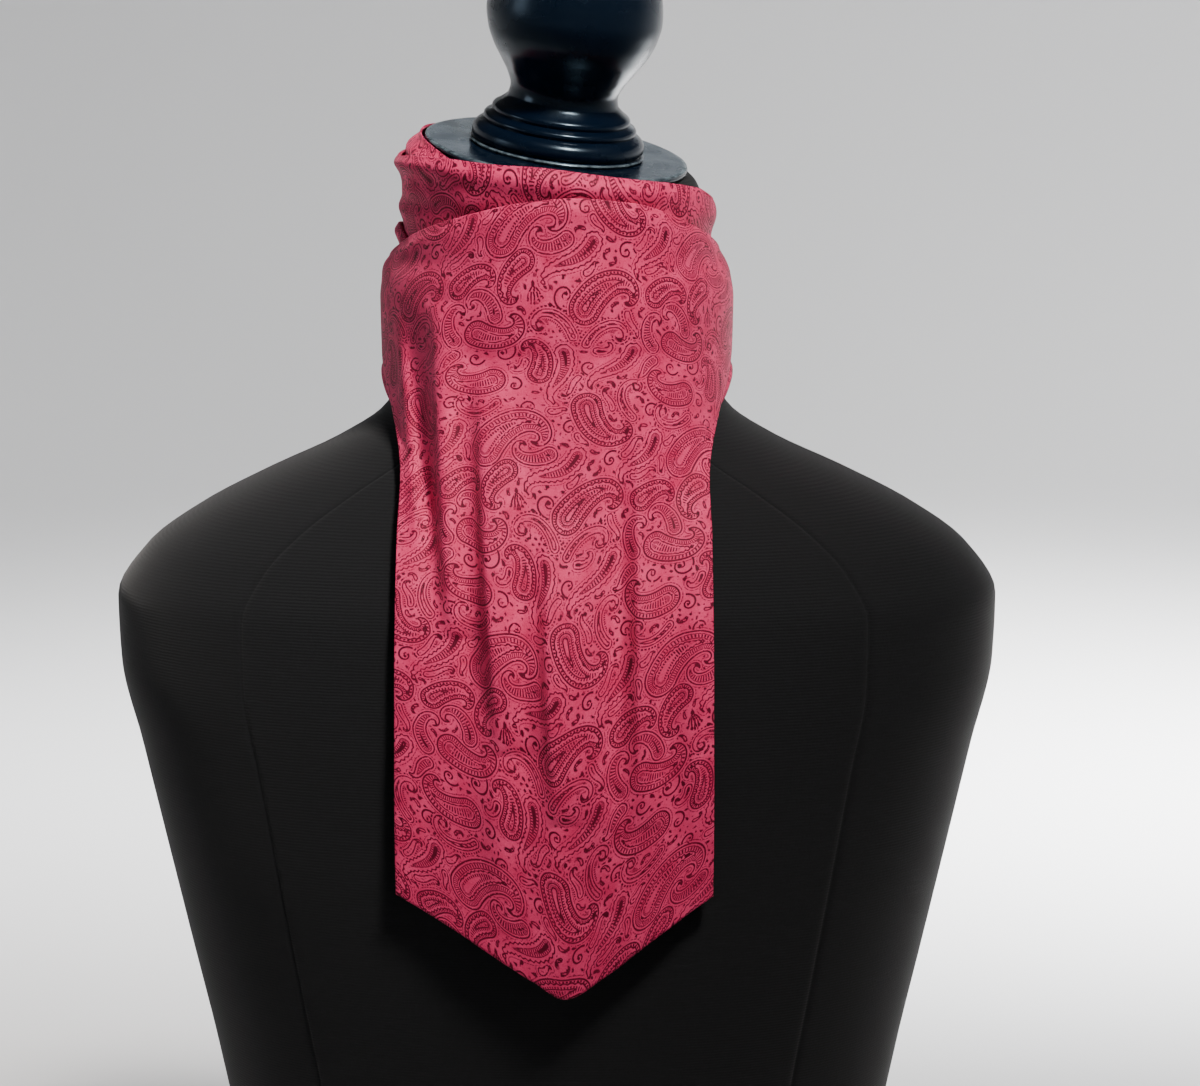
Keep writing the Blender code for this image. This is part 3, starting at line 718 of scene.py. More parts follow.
def flower(size):
    """A heart with six petals round it."""
    drops = [(0.0, 0.0, size * 0.24, 0.1, 0.0, size * 0.24)]
    for at in PETALS:
        drops.append((*(on_circle(at) * size * 0.50), size * 0.12,
                      *(on_circle(at) * size * 0.84), size * 0.22))
    return [], drops


def placed(arcs, drops, place, turn, hand):
    """A small motif's arcs and drops, mirrored by its hand, turned and moved to its place."""
    moved_arcs = [
        (*(turned_by((x, hand * y), turn) + place), radius,
         hand * middle + math.radians(turn), half, width)
        for x, y, radius, middle, half, width in arcs
    ]
    moved_drops = [
        (*(turned_by((x1, hand * y1), turn) + place), r1,
         *(turned_by((x2, hand * y2), turn) + place), r2)
        for x1, y1, r1, x2, y2, r2 in drops
    ]
    return moved_arcs, moved_drops


def arc_reach(x, y, arcs):
    """Distance from places to arcs: to the circle within its sweep, to an end beyond it."""
    centre_x, centre_y, radius, middle, half, _ = np.moveaxis(arcs, -1, 0)
    dx, dy = wrapped(x - centre_x, TILE[0]), wrapped(y - centre_y, TILE[1])
    turn = wrapped(np.arctan2(dy, dx) - middle, 2 * math.pi)
    past = np.maximum(np.abs(turn) - half, 0.0) * radius
    return np.hypot(np.hypot(dx, dy) - radius, past)


def drop_reach(x, y, drops):
    """Signed distance from places to drops: the least of that to four circles along each."""
    x1, y1, r1, x2, y2, r2 = np.moveaxis(drops, -1, 0)
    least = np.inf
    for share in (0.0, 0.34, 0.67, 1.0):
        dx = wrapped(x - x1 - share * (x2 - x1), TILE[0])
        dy = wrapped(y - y1 - share * (y2 - y1), TILE[1])
        least = np.minimum(least, np.hypot(dx, dy) - (r1 + share * (r2 - r1)))
    return least


class Chart:
    """The print laid out once over its repeat: the motifs' spines and styles, arcs and drops,
    and for each small cell which of them are nearest and how much room is left."""

    def __init__(self):
        self.counts = np.round(TILE / CELL).astype(int)
        y, x = np.meshgrid((np.arange(self.counts[1]) + 0.5) * CELL,
                           (np.arange(self.counts[0]) + 0.5) * CELL, indexing="ij")
        self.x, self.y = x.ravel(), y.ravel()
        cells = len(self.x)
        self.room = np.full(cells, FAR)
        self.spines, self.styles, self.arcs, self.drops = [], [], [], []
        self.motif_near, self.motif = np.full((2, cells), FAR), np.zeros((2, cells), dtype=int)
        self.arc_near, self.arc = np.full(cells, FAR), np.zeros(cells, dtype=int)
        self.drop_near, self.drop = np.full(cells, FAR), np.zeros(cells, dtype=int)
        self.draw = np.random.default_rng(PRINT_SEED)

    def cell(self, x, y):
        """Number of the cell at a place in the print."""
        across = np.minimum((x % TILE[0]) // CELL, self.counts[0] - 1).astype(int)
        down = np.minimum((y % TILE[1]) // CELL, self.counts[1] - 1).astype(int)
        return down * self.counts[0] + across

    def add_motif(self, motif):
        """Adds a motif with a spine to the cells around it."""
        path, _, radius, _ = spine = spine_of(motif)
        about = np.hypot(wrapped(self.x - motif["x"], TILE[0]), wrapped(self.y - motif["y"], TILE[1]))
        around = np.flatnonzero(about < motif["length"] + MOTIF_REACH)
        dx = wrapped(self.x[around, None] - path[:, 0], TILE[0])
        dy = wrapped(self.y[around, None] - path[:, 1], TILE[1])
        away = (np.hypot(dx, dy) - radius).min(axis=1)
        number = len(self.spines)
        first, second = self.motif_near[:, around]
        own_first, own_second = self.motif[:, around]
        nearest, next_near = away < first, away < second
        self.motif_near[1, around] = np.where(nearest, first, np.where(next_near, away, second))
        self.motif[1, around] = np.where(nearest, own_first, np.where(next_near, number, own_second))
        self.motif_near[0, around] = np.minimum(away, first)
        self.motif[0, around] = np.where(nearest, number, own_first)
        self.room[around] = np.minimum(self.room[around], away - STITCH_ROOM)
        self.spines.append(spine)
        self.styles.append(int(motif["style"]))

    def add_small(self, arcs, drops):
        """Adds a small motif's arcs and drops."""
        for arc in np.array(arcs):
            away = arc_reach(self.x, self.y, arc)
            self.arc = np.where(away < self.arc_near, len(self.arcs), self.arc)
            self.arc_near = np.minimum(away, self.arc_near)
            self.room = np.minimum(self.room, away - arc[5])
            self.arcs.append(arc)
        for drop in np.array(drops):
            away = drop_reach(self.x, self.y, drop)
            self.drop = np.where(away < self.drop_near, len(self.drops), self.drop)
            self.drop_near = np.minimum(away, self.drop_near)
            self.room = np.minimum(self.room, away)
            self.drops.append(drop)

    def try_small(self, row):
        """Sets small motifs of one sort at random places where all of their drops find room."""
        shape = {"curl": curl, "spray": spray, "fan": fan, "flower": flower}[row["sort"]]
        kept = 0
        for spot in self.draw.integers(0, len(self.x), row["tries"]):
            place = np.array((self.x[spot], self.y[spot]))
            turn, hand = self.draw.uniform(0, 360), self.draw.choice((-1, 1))
            arcs, drops = placed(*shape(row["size"]), place, turn, hand)
            x1, y1, r1, x2, y2, r2 = np.array(drops).T
            free = np.concatenate((self.room[self.cell(x1, y1)] - r1, self.room[self.cell(x2, y2)] - r2))
            room = min(free.min(), self.room[spot] - HEART_ROOM)
            if room > MOTIF_ROOM and kept < row["most"]:
                self.add_small(arcs, drops)
                kept += 1

    def try_motifs(self, row):
        """Sets motifs of one size where they find room, along the outlines around them."""
        kept = 0
        for spot in self.draw.integers(0, len(self.x), row["tries"]):
            sway, turned = self.draw.uniform(-SWAY, SWAY), self.draw.integers(2)
            hand = self.draw.choice((-1, 1))
            if self.room[spot] < row["width"] / 2 + MOTIF_ROOM or kept == row["most"]:
                continue
            x, y = self.x[spot], self.y[spot]
            east = self.room[self.cell(x + 1, y)] - self.room[self.cell(x - 1, y)]
            north = self.room[self.cell(x, y + 1)] - self.room[self.cell(x, y - 1)]
            turn = math.degrees(math.atan2(north, east)) + 90 + 180 * turned + sway
            motif = dict(row, x=x, y=y, turn=turn, bend=hand * row["bend"], hook=hand * row["hook"])
            path, _, radius, _ = spine_of(motif)
            if (self.room[self.cell(path[:, 0], path[:, 1])] > radius + MOTIF_ROOM).all():
                self.add_motif(motif)
                kept += 1

    def try_specks(self):
        """Sets short drops, as seeds and dots, in what is left."""
        for spot in self.draw.integers(0, len(self.x), SPECKS):
            turn, size = self.draw.uniform(0, 360), min(self.room[spot] - SPECK_ROOM, SPECK_MOST)
            if size > SPECK_LEAST:
                x, y = self.x[spot], self.y[spot]
                way = on_circle(turn) * size * 0.9
                seed = (x - way[0] / 2, y - way[1] / 2, size * 0.7, x + way[0], y + way[1], size * 0.2)
                self.add_small([], [seed])

    def close(self):
        """Turns the lists into arrays once everything is placed."""
        self.spines = tuple(np.stack(parts) for parts in zip(*self.spines))
        self.styles = np.array(self.styles)
        self.arcs, self.drops = np.array(self.arcs), np.array(self.drops)


def draw_print():
    """The whole print: large motifs, small drawn ones, commas and specks."""
    made = Chart()
    for row in named(LARGE_MOTIFS, MOTIF_COLUMNS):
        made.try_motifs(row)
    for row in named(SMALL_MOTIFS, SMALL_COLUMNS):
        made.try_small(row)
    for row in named(COMMAS, MOTIF_COLUMNS):
        made.try_motifs(row)
    made.try_specks()
    made.close()
    return made


def nearest_outline(far_mid, along_mid, far, along, style):
    """Of the lines that a motif is drawn with, the one nearest to a face's middle: the
    corners' distances off it, its half width and how far the middle is from its ink."""
    off, half = np.full(far.shape, NO_INK), np.zeros(len(far))
    nearest = np.full(len(far), FAR)
    for row in named(OUTLINES, OUTLINE_COLUMNS):
        wave = row["scallop"] * np.abs(np.sin(along_mid * math.pi / row["pitch"]))
        away = np.abs(far_mid - row["level"] - wave) - row["half_width"]
        better = (style == row["style"]) & (away < nearest)
        wave = row["scallop"] * np.abs(np.sin(along * math.pi / row["pitch"]))
        off = np.where(better[:, None], far - row["level"] - wave, off)
        half = np.where(better, row["half_width"], half)
        nearest = np.where(better, away, nearest)
    return off, half, nearest


def arc_fields(x, y, arcs):
    """For faces and the arc nearest to each: how far the middle is from the arc's ink, and the
    corners' distances off its circle, or no ink where the middle is past the arc's ends."""
    x_mid, y_mid = x.mean(axis=1), y.mean(axis=1)
    centre_x, centre_y, radius, middle, half, width = arcs.T
    turn = np.arctan2(wrapped(y_mid - centre_y, TILE[1]), wrapped(x_mid - centre_x, TILE[0]))
    past = np.abs(wrapped(turn - middle, 2 * math.pi)) > half
    off = np.hypot(wrapped(x - centre_x[:, None], TILE[0]),
                   wrapped(y - centre_y[:, None], TILE[1])) - radius[:, None]
    return arc_reach(x_mid, y_mid, arcs) - width, np.where(past[:, None], NO_INK, off)


def nearest_dashes(far_mid, far, along, style):
    """Of the rows of dashes in a motif, the one nearest to a face's middle. For each corner:
    dashes passed, place along the dash, its half length and its half width."""
    dash = np.full((*far.shape, 4), (0.5, NO_INK, 0.0, 0.0))
    closest = np.full(len(far), FAR)
    for row in named(DASHES, DASH_COLUMNS):
        away = np.abs(far_mid - row["level"]) - row["half_length"]
        better = (style == row["style"]) & (away < closest)
        length = np.full_like(far, row["half_length"])
        width = np.full_like(far, row["half_width"])
        held = np.stack((along / DASH_PITCH, far - row["level"], length, width), axis=-1)
        dash = np.where(better[:, None, None], held, dash)
        closest = np.where(better, away, closest)
    return dash


def print_fields(x, y, made):
    """The print on faces of cloth, from their corners' places in it, in mm: [face, corner].
    Each face takes the nearest lines, dash and drop at its middle, and its corners hold their
    signed distances to those, so that edges finer than a face stay sharp. Returns for each
    attribute three values a corner: print_line (off a line, its half width, distance to a
    drop), print_next (off the next motif's line, its half width, the dashes' half width) and
    print_dash (dashes passed, place along the dash, its half length)."""
    corners = x.shape[1]
    x_mid, y_mid = x.mean(axis=1), y.mean(axis=1)
    cell = made.cell(x_mid, y_mid)
    fields = []
    for own in made.motif[:, cell]:
        far_mid, along_mid = motif_fields(x_mid, y_mid, own, made.spines)
        far, along = motif_fields(x.ravel(), y.ravel(), np.repeat(own, corners), made.spines)
        fields.append((far_mid, along_mid, far.reshape(x.shape), along.reshape(x.shape),
                       made.styles[own]))
    off, half, nearest = nearest_outline(*fields[0])
    next_off, next_half, _ = nearest_outline(*fields[1])
    far_mid, _, far, along, style = fields[0]

    arcs = made.arcs[made.arc[cell]]
    away, arc_off = arc_fields(x, y, arcs)
    on_arc = (away < nearest) & (far_mid > ARC_CLEAR)
    off = np.where(on_arc[:, None], arc_off, off)
    half = np.where(on_arc, arcs[:, -1], half)
    dash = nearest_dashes(far_mid, far, along, style)
    solid = drop_reach(x, y, made.drops[made.drop[cell]][:, None, :])
    solid = np.where(far_mid[:, None] > DROP_CLEAR, solid, NO_INK)
    half, next_half = (np.repeat(h[:, None], corners, axis=1) for h in (half, next_half))
    return {
        "print_line": np.stack((off, half, solid), axis=-1),
        "print_next": np.stack((next_off, next_half, dash[..., 3]), axis=-1),
        "print_dash": dash[..., :3],
    }


# ---------------------------------------------------------------- meshes

def finish_mesh(made, node, material):
    """A piece gets its material, rides on the part's one body and stands for its CAD node,
    which is hidden."""
    made.data.materials.append(materials[material])
    bpy.context.scene.collection.objects.link(made)
    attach(made, "root")
    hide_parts(node)
    return made


def grid_faces(rows, columns, closed):
    """Corners of a grid's faces as (row, column) numbers, top to bottom and then towards +X,
    so that they point outward. A closed grid's last column of faces ends at column
    number `columns`, which is its first column of points once more."""
    last = columns if closed else columns - 1
    row, here = np.meshgrid(np.arange(rows - 1), np.arange(last), indexing="ij")
    row, here = row.ravel(), here.ravel()
    return (np.stack((row, row + 1, row + 1, row), axis=1),
            np.stack((here, here, here + 1, here + 1), axis=1))


def grid_object(name, points, closed, caps=()):
    """An object over an array of points [row, column], in mm from the cap, shaded smooth.
    caps may name the "top" and "bottom", which get a flat face."""
    rows, columns = points.shape[:2]
    face_row, face_column = grid_faces(rows, columns, closed)
    faces = (face_row * columns + face_column % columns).tolist()
    if "top" in caps:
        faces.append(list(range(columns)))
    if "bottom" in caps:
        faces.append(list(reversed(range((rows - 1) * columns, rows * columns))))
    mesh = bpy.data.meshes.new(name)
    mesh.from_pydata((cap_middle + points.reshape(-1, 3) * MM).tolist(), [], faces)
    mesh.shade_smooth()
    mesh.update()
    return bpy.data.objects.new(name, mesh)


def cloth_lengths(points, closed):
    """Places on the flat cloth, in mm: along each row from its middle column, and down by the
    rows' mean distances. A closed grid has one more column, where it meets itself."""
    if closed:
        points = np.concatenate((points, points[:, :1]), axis=1)
    middle = points.shape[1] // 2
    steps = np.linalg.norm(np.diff(points, axis=1), axis=-1)
    along = np.concatenate((np.zeros((len(points), 1)), np.cumsum(steps, axis=1)), axis=1)
    along -= along[:, middle:middle + 1]
    steps = np.linalg.norm(np.diff(points, axis=0), axis=-1).mean(axis=1)
    down = np.concatenate(([0.0], np.cumsum(steps)))
    return along, np.repeat(down[:, None], points.shape[1], axis=1)


def cloth_object(name, points):
    """A stretch of printed cloth: the grid with its upper edge folded over, its print in face
    corner attributes, and a wall inward."""
    cut = keyed(CLOTH, CLOTH_COLUMNS)[name]
    if cut["leg"]:
        points = folded_over(points, cut["roll"], cut["leg"])
    made = grid_object(name + "_cotton", points, cut["closed"])
    rows, columns = points.shape[:2]
    along, down = cloth_lengths(points, cut["closed"])
    flat = turned_by(np.stack((along, -down), axis=-1), cut["print_turn"])
    flat = flat + np.array((cut["print_x"], cut["print_y"]))
    corner = grid_faces(rows, columns, cut["closed"])
    x, y = flat[..., 0][corner], flat[..., 1][corner]
    held = print_fields(x, y, chart)
    held["cloth_place"] = np.stack((x, y, np.zeros_like(x)), axis=-1)
    for attribute, values in held.items():
        layer = made.data.attributes.new(attribute, "FLOAT_VECTOR", "CORNER")
        layer.data.foreach_set("vector", values.astype(np.float32).ravel())
    solidify = made.modifiers.new("wall", "SOLIDIFY")
    solidify.thickness = cut["wall"] * MM
    solidify.offset = -1.0
    return finish_mesh(made, name, "printed_cotton")


def folded_over(points, radius, leg, steps=6):
    """Rows above a sheet's first row, where the cloth turns over its upper edge: round a half
    circle and down behind the first rows of the face, whose number is leg."""
    inward = -points[:leg + 1] * (1.0, 1.0, 0.0)
    inward /= np.linalg.norm(inward, axis=-1, keepdims=True)
    behind = (points[:leg + 1] + inward * 2 * radius)[:0:-1]
    angles = np.linspace(math.pi, 0.0, steps, endpoint=False)[:, None, None]
    turn = points[0] + inward[0] * radius * (1 + np.cos(math.pi - angles))
    turn[..., 2] += radius * np.sin(angles[..., 0])
    return np.concatenate((behind, turn, points))


def band_points(name, edges, pleats, swells, clear, start=180.0, sweep=360.0, lean=0.0):
    """A turn of cloth round the neck, between the two edges of its table: the form's neck
    sections moved out by clear and by the pleats, unevenness and swells. lean is the share
    by which its top edge leans in over the rounded top of the neck."""
    cut = keyed(CLOTH, CLOTH_COLUMNS)[name]
    azimuths = start + np.linspace(0.0, sweep, cut["columns"], endpoint=not cut["closed"])
    share, azimuth = np.meshgrid(np.linspace(0.0, 1.0, cut["rows"]), azimuths, indexing="ij")
    top = lookup_round(edges, BAND_COLUMNS, "top", azimuth)
    bottom = lookup_round(edges, BAND_COLUMNS, "bottom", azimuth)
    drop = top + (bottom - top) * share
    out = clear + pleat_relief(pleats, np.mod(azimuth, 360.0), share)
    out = out + unevenness(name, azimuth * NECK_ARC, drop)
    in_front = bell(wrapped(azimuth, 360.0), 0.0, FRONT_REACH)
    at_right = bell(wrapped(azimuth - 90.0, 360.0), 0.0, RIGHT_REACH)
    for row in named(swells, SWELL_COLUMNS):
        height = row["height"] + row["in_front"] * in_front + row["at_right"] * at_right
        out = out + height * bell(share, row["share"], row["width"])
    x, y = form_point(azimuth, np.maximum(drop, NECK_FULL), out)
    leaning = 1 - lean * (1 - smooth_step(BAND_LEANS, BAND_UPRIGHT, drop))
    return np.stack((x * leaning, y * leaning, tilted(x * leaning, y * leaning, drop)), axis=-1)


def build_inner_band():
    """The first turn. Its top edge leans in over the rounded top of the neck."""
    points = band_points("neckband_inner", INNER_BAND_EDGES, INNER_BAND_PLEATS, (),
                         INNER_CLEAR, lean=BAND_LEAN)
    made = cloth_object("neckband_inner", points)


def build_outer_band():
    """The second turn, pleated. It swells below its rolled edge, most in front, and is hollow
    at the middle of its height."""
    points = band_points("neckband_outer", OUTER_BAND_EDGES, OUTER_BAND_PLEATS,
                         OUTER_BAND_SWELLS, OUTER_CLEAR)
    made = cloth_object("neckband_outer", points)


def build_side_wrap():
    """The lower stretch, which comes round the neck and goes under the hanging ends."""
    points = band_points("side_wrap", SIDE_WRAP_EDGES, SIDE_WRAP_PLEATS, SIDE_WRAP_SWELLS,
                         SIDE_CLEAR, start=32.0, sweep=296.0)
    made = cloth_object("side_wrap", points)


def blade_rows(name, edges, spreads, names, inset=0.0, flare=0.0):
    """A hanging end's grid: rows are spread between its top and bottom edges, and each point
    has the arc of its own drop, moved in by inset and out by the flare beside the neck, and
    its angle on it."""
    cut = keyed(CLOTH, CLOTH_COLUMNS)[name]
    down, share = np.meshgrid(np.linspace(0.0, 1.0, cut["rows"]),
                              np.linspace(-1.0, 1.0, cut["columns"]), indexing="ij")
    top = lookup(edges, EDGE_COLUMNS, "top", share)
    bottom = lookup(edges, EDGE_COLUMNS, "bottom", share)
    drop = top + (bottom - top) * down
    across, deep, centre, covered = (
        lookup(FRONT_BLADE_SECTIONS, BLADE_COLUMNS, wanted, drop)
        for wanted in ("across", "deep", "centre", "spread")
    )
    angle = share * lookup(spreads, names, "spread", drop)
    beside = smooth_step(covered + FLARE_BEGINS, covered + FLARE_FULL, np.abs(angle))
    out = flare * beside * bell(drop, FLARE_DROP, FLARE_REACH) - inset
    return share, drop, across + out, deep + out, centre, np.radians(angle)


def blade_points(across, deep, centre, angle, drop, rest, sink=0.0):
    """Points of a hanging end: on the arcs of their drops, but no closer to the form than
    their rest, and then sunk in, or out below 0, by the folds."""
    x = across * np.sin(angle)
    y = centre - deep * np.cos(angle)
    y = np.where(drop > CHEST_STARTS, np.minimum(y, -form_front(x, drop, rest)), y)
    sink = sink * np.sqrt(np.clip(np.cos(angle), 0.0, 1.0))
    return np.stack((x + FOLD_LEAN * np.minimum(sink, 0.0), y + sink, -drop), axis=-1)


def build_front_blade():
    """The end that hangs over all: its top is the fold that arches over the neckband."""
    share, drop, across, deep, centre, angle = blade_rows(
        "front_blade", FRONT_BLADE_EDGES, FRONT_BLADE_SECTIONS, BLADE_COLUMNS
    )
    sink = fold_relief(FRONT_BLADE_FOLDS, across * np.sin(angle), drop)
    width = share * BLADE_HALF
    uneven = unevenness("front_blade", width, drop) * smooth_step(EVEN_TO, UNEVEN_FROM, drop)
    uneven += unevenness("front_blade_fine", width, drop)
    lifted = sum(row["height"] * bell(share, row["share"], row["width"])
                 for row in named(ARCH_LIFTS, LIFT_COLUMNS))
    rolled = TOP_ROLL * bell(drop, drop[0], TOP_ROLL_REACH)
    rolled = rolled - lifted * bell(drop, LIFT_DROP, LIFT_REACH)
    points = blade_points(across - rolled, deep - rolled, centre, angle, drop,
                          UNDER_REST + BETWEEN_BLADES, sink - uneven)
    made = cloth_object("front_blade", points)


def build_under_blade():
    """The other end, beneath, a little shorter, which peeks out at the sides of the neck."""
    _, drop, across, deep, centre, angle = blade_rows(
        "under_blade", UNDER_BLADE_EDGES, UNDER_BLADE_SPREAD, SPREAD_COLUMNS, BETWEEN_BLADES, FLARE
    )
    points = blade_points(across, deep, centre, angle, drop, UNDER_REST)
    made = cloth_object("under_blade", points)


def build_torso():
    """The covered form: its sections in fine steps, with the cover's seams as narrow grooves
    that fade out on the neck, closed flat at neck and waist."""
    near_seams = [seam + step for seam in SEAMS for step in SEAM_POINTS]
    azimuths = np.unique(np.concatenate((np.arange(0.0, 360.0, 2.25), near_seams)))
    drops = np.concatenate((np.linspace(NECK_TOP, TOP_ROUNDS_TO, 26),
                            np.linspace(TOP_ROUNDS_TO + 2.0, WAIST_DROP, 150)))
    drop, azimuth = np.meshgrid(drops, azimuths, indexing="ij")
    groove = sum(bell(azimuth, seam, SEAM_WIDTH) for seam in SEAMS)
    groove *= SEAM_DEPTH * smooth_step(SEAM_NONE, SEAM_FULL, drop)
    x, y = form_point(azimuth, drop, -groove)
    points = np.stack((x, y, tilted(x, y, drop)), axis=-1)
    made = grid_object("form_torso_jersey", points, True, caps=("top", "bottom"))
    finish_mesh(made, "form_torso", "black_jersey")


def build_board():
    """The oval board, its rim rounded above and below."""
    turns = np.radians(np.linspace(90.0, 0.0, BOARD_STEPS))
    inset, fall = BOARD_ROUND * (1 - np.cos(turns)), BOARD_ROUND * (1 - np.sin(turns))
    inset = np.concatenate((inset, inset[::-1]))
    fall = np.concatenate((fall, BOARD_THICKNESS - fall[::-1]))
    inset, azimuth = np.meshgrid(inset, np.arange(0.0, 360.0, 2.0), indexing="ij")
    fall = np.repeat(fall[:, None], azimuth.shape[1], axis=1)
    x, y = form_point(azimuth, np.full_like(azimuth, WAIST_DROP), -BOARD_INSET - inset)
    points = np.stack((x, y, -(WAIST_DROP + GAP) - fall), axis=-1)
    made = grid_object("form_board_rounded", points, True, caps=("top", "bottom"))
    finish_mesh(made, "form_board", "black_board")


def turned_points(profile, azimuths):
    """A profile, rows of radius and height, carried round the Z axis in steps of degrees."""
    angle = np.radians(azimuths)
    return np.stack((
        profile[:, :1] * np.sin(angle),
        -profile[:, :1] * np.cos(angle),
        np.repeat(profile[:, 1:], len(angle), axis=1),
    ), axis=-1)


def build_turned(name, node, rows):
    """A turned piece on the cap's slanted axis: its profile, smooth between corners, carried
    round in fine steps. Points on the axis become one."""
    table = named(rows, TURNED_COLUMNS)
    end = len(table) - 1
    starts = [0] + [at for at, row in enumerate(table) if row["corner"] and 0 < at < end]
    profile = []
    for first, last in zip(starts, starts[1:] + [end]):
        run = np.array([(row["radius"], row["height"]) for row in table[first:last + 1]])
        length = np.concatenate(([0.0], np.cumsum(np.linalg.norm(np.diff(run, axis=0), axis=1))))
        fine = np.linspace(0.0, length[-1], max(2, int(length[-1] / PROFILE_STEP)) + 1)
        pair = np.stack([curve_through(length, run[:, axis], fine) for axis in (0, 1)], axis=1)
        profile.append(pair if not profile else pair[1:])
    points = turned_points(np.concatenate(profile), np.arange(TURNED_STEPS) * 360.0 / TURNED_STEPS)
    turn = np.array(Vector((0, 0, 1)).rotation_difference(cap_axis).to_matrix())
    made = grid_object(name, points @ turn.T, True)
    weld_poles(made.data)
    finish_mesh(made, node, "black_lacquer")


def weld_poles(mesh):
    """Merges the points that lie on each other on a turned piece's axis, and keeps the
    corners of its profile sharp."""
    shape = bmesh.new()
    shape.from_mesh(mesh)
    bmesh.ops.remove_doubles(shape, verts=shape.verts, dist=0.01 * MM)
    bmesh.ops.dissolve_degenerate(shape, edges=shape.edges, dist=0.001 * MM)
    shape.to_mesh(mesh)
    shape.free()
    mesh.shade_smooth()
    mesh.set_sharp_from_angle(angle=math.radians(CORNER))


# ---------------------------------------------------------------- materials

WAVE = 0.314                # a Wave texture's scale times the distance between its bands

# Sizes in the cotton, in mm: how far its ink creeps in all and half of its soft edge, the
# fibres that it creeps along, clouds and grain in the dye, and the threads, at twice their
# real spacing so that the weave just shows.
INK_BLEED, INK_SOFT = 0.34, 0.13
FIBRE, CLOUD, GRAIN, THREAD = 0.625, 9.09, 0.667, 0.45
# In the jersey: its ribs, drawn coarser than they are so that they show, and its lint.
RIB, LINT = 1.2, 1.11
# In the lacquer: patches of its lighter edge line, of dust, and its waviness. The edge line is
# painted lighter grey: in part a painted reflection where the edges catch the light, in part
# rubbed wear. It lies between two heights on the finial's lowest lip, and this far in and down
# from the disc's edge.
EDGE_PATCHES, DUST, WAVINESS = 4.167, 18.18, 4.545
LIP_LOW, LIP_HIGH = 0.25, 1.7
RIM_WIDE, RIM_DEEP = 1.7, 0.7


def linear(colour):
    """An sRGB hex colour as linear red, green, blue and alpha."""
    parts = [int(colour[at:at + 2], 16) / 255 for at in (1, 3, 5)]
    return (*(p / 12.92 if p <= 0.04045 else ((p + 0.055) / 1.055) ** 2.4 for p in parts), 1.0)


def feed(tree, node, inputs):
    """Sets a node's inputs, from a list or from a dictionary by name. A socket is linked, a
    node stands for its first output, and anything else is the input's own value."""
    for name, value in inputs.items() if isinstance(inputs, dict) else enumerate(inputs):
        if isinstance(value, bpy.types.Node):
            value = value.outputs[0]
        if isinstance(value, bpy.types.NodeSocket):
            tree.links.new(value, node.inputs[name])
        else:
            node.inputs[name].default_value = value


def add(tree, kind, inputs=(), **settings):
    """Adds a node with its settings and inputs."""
    made = tree.nodes.new("ShaderNode" + kind)
    for name, value in settings.items():
        setattr(made, name, value)
    feed(tree, made, inputs)
    return made


def new_material(name):
    """A material with an empty tree but for its output, and its Principled shader."""
    made = bpy.data.materials.new(name)
    made.use_nodes = True
    tree = made.node_tree
    tree.nodes.clear()
    shader = add(tree, "BsdfPrincipled")
    add(tree, "OutputMaterial", {"Surface": shader})
    return made, tree, shader


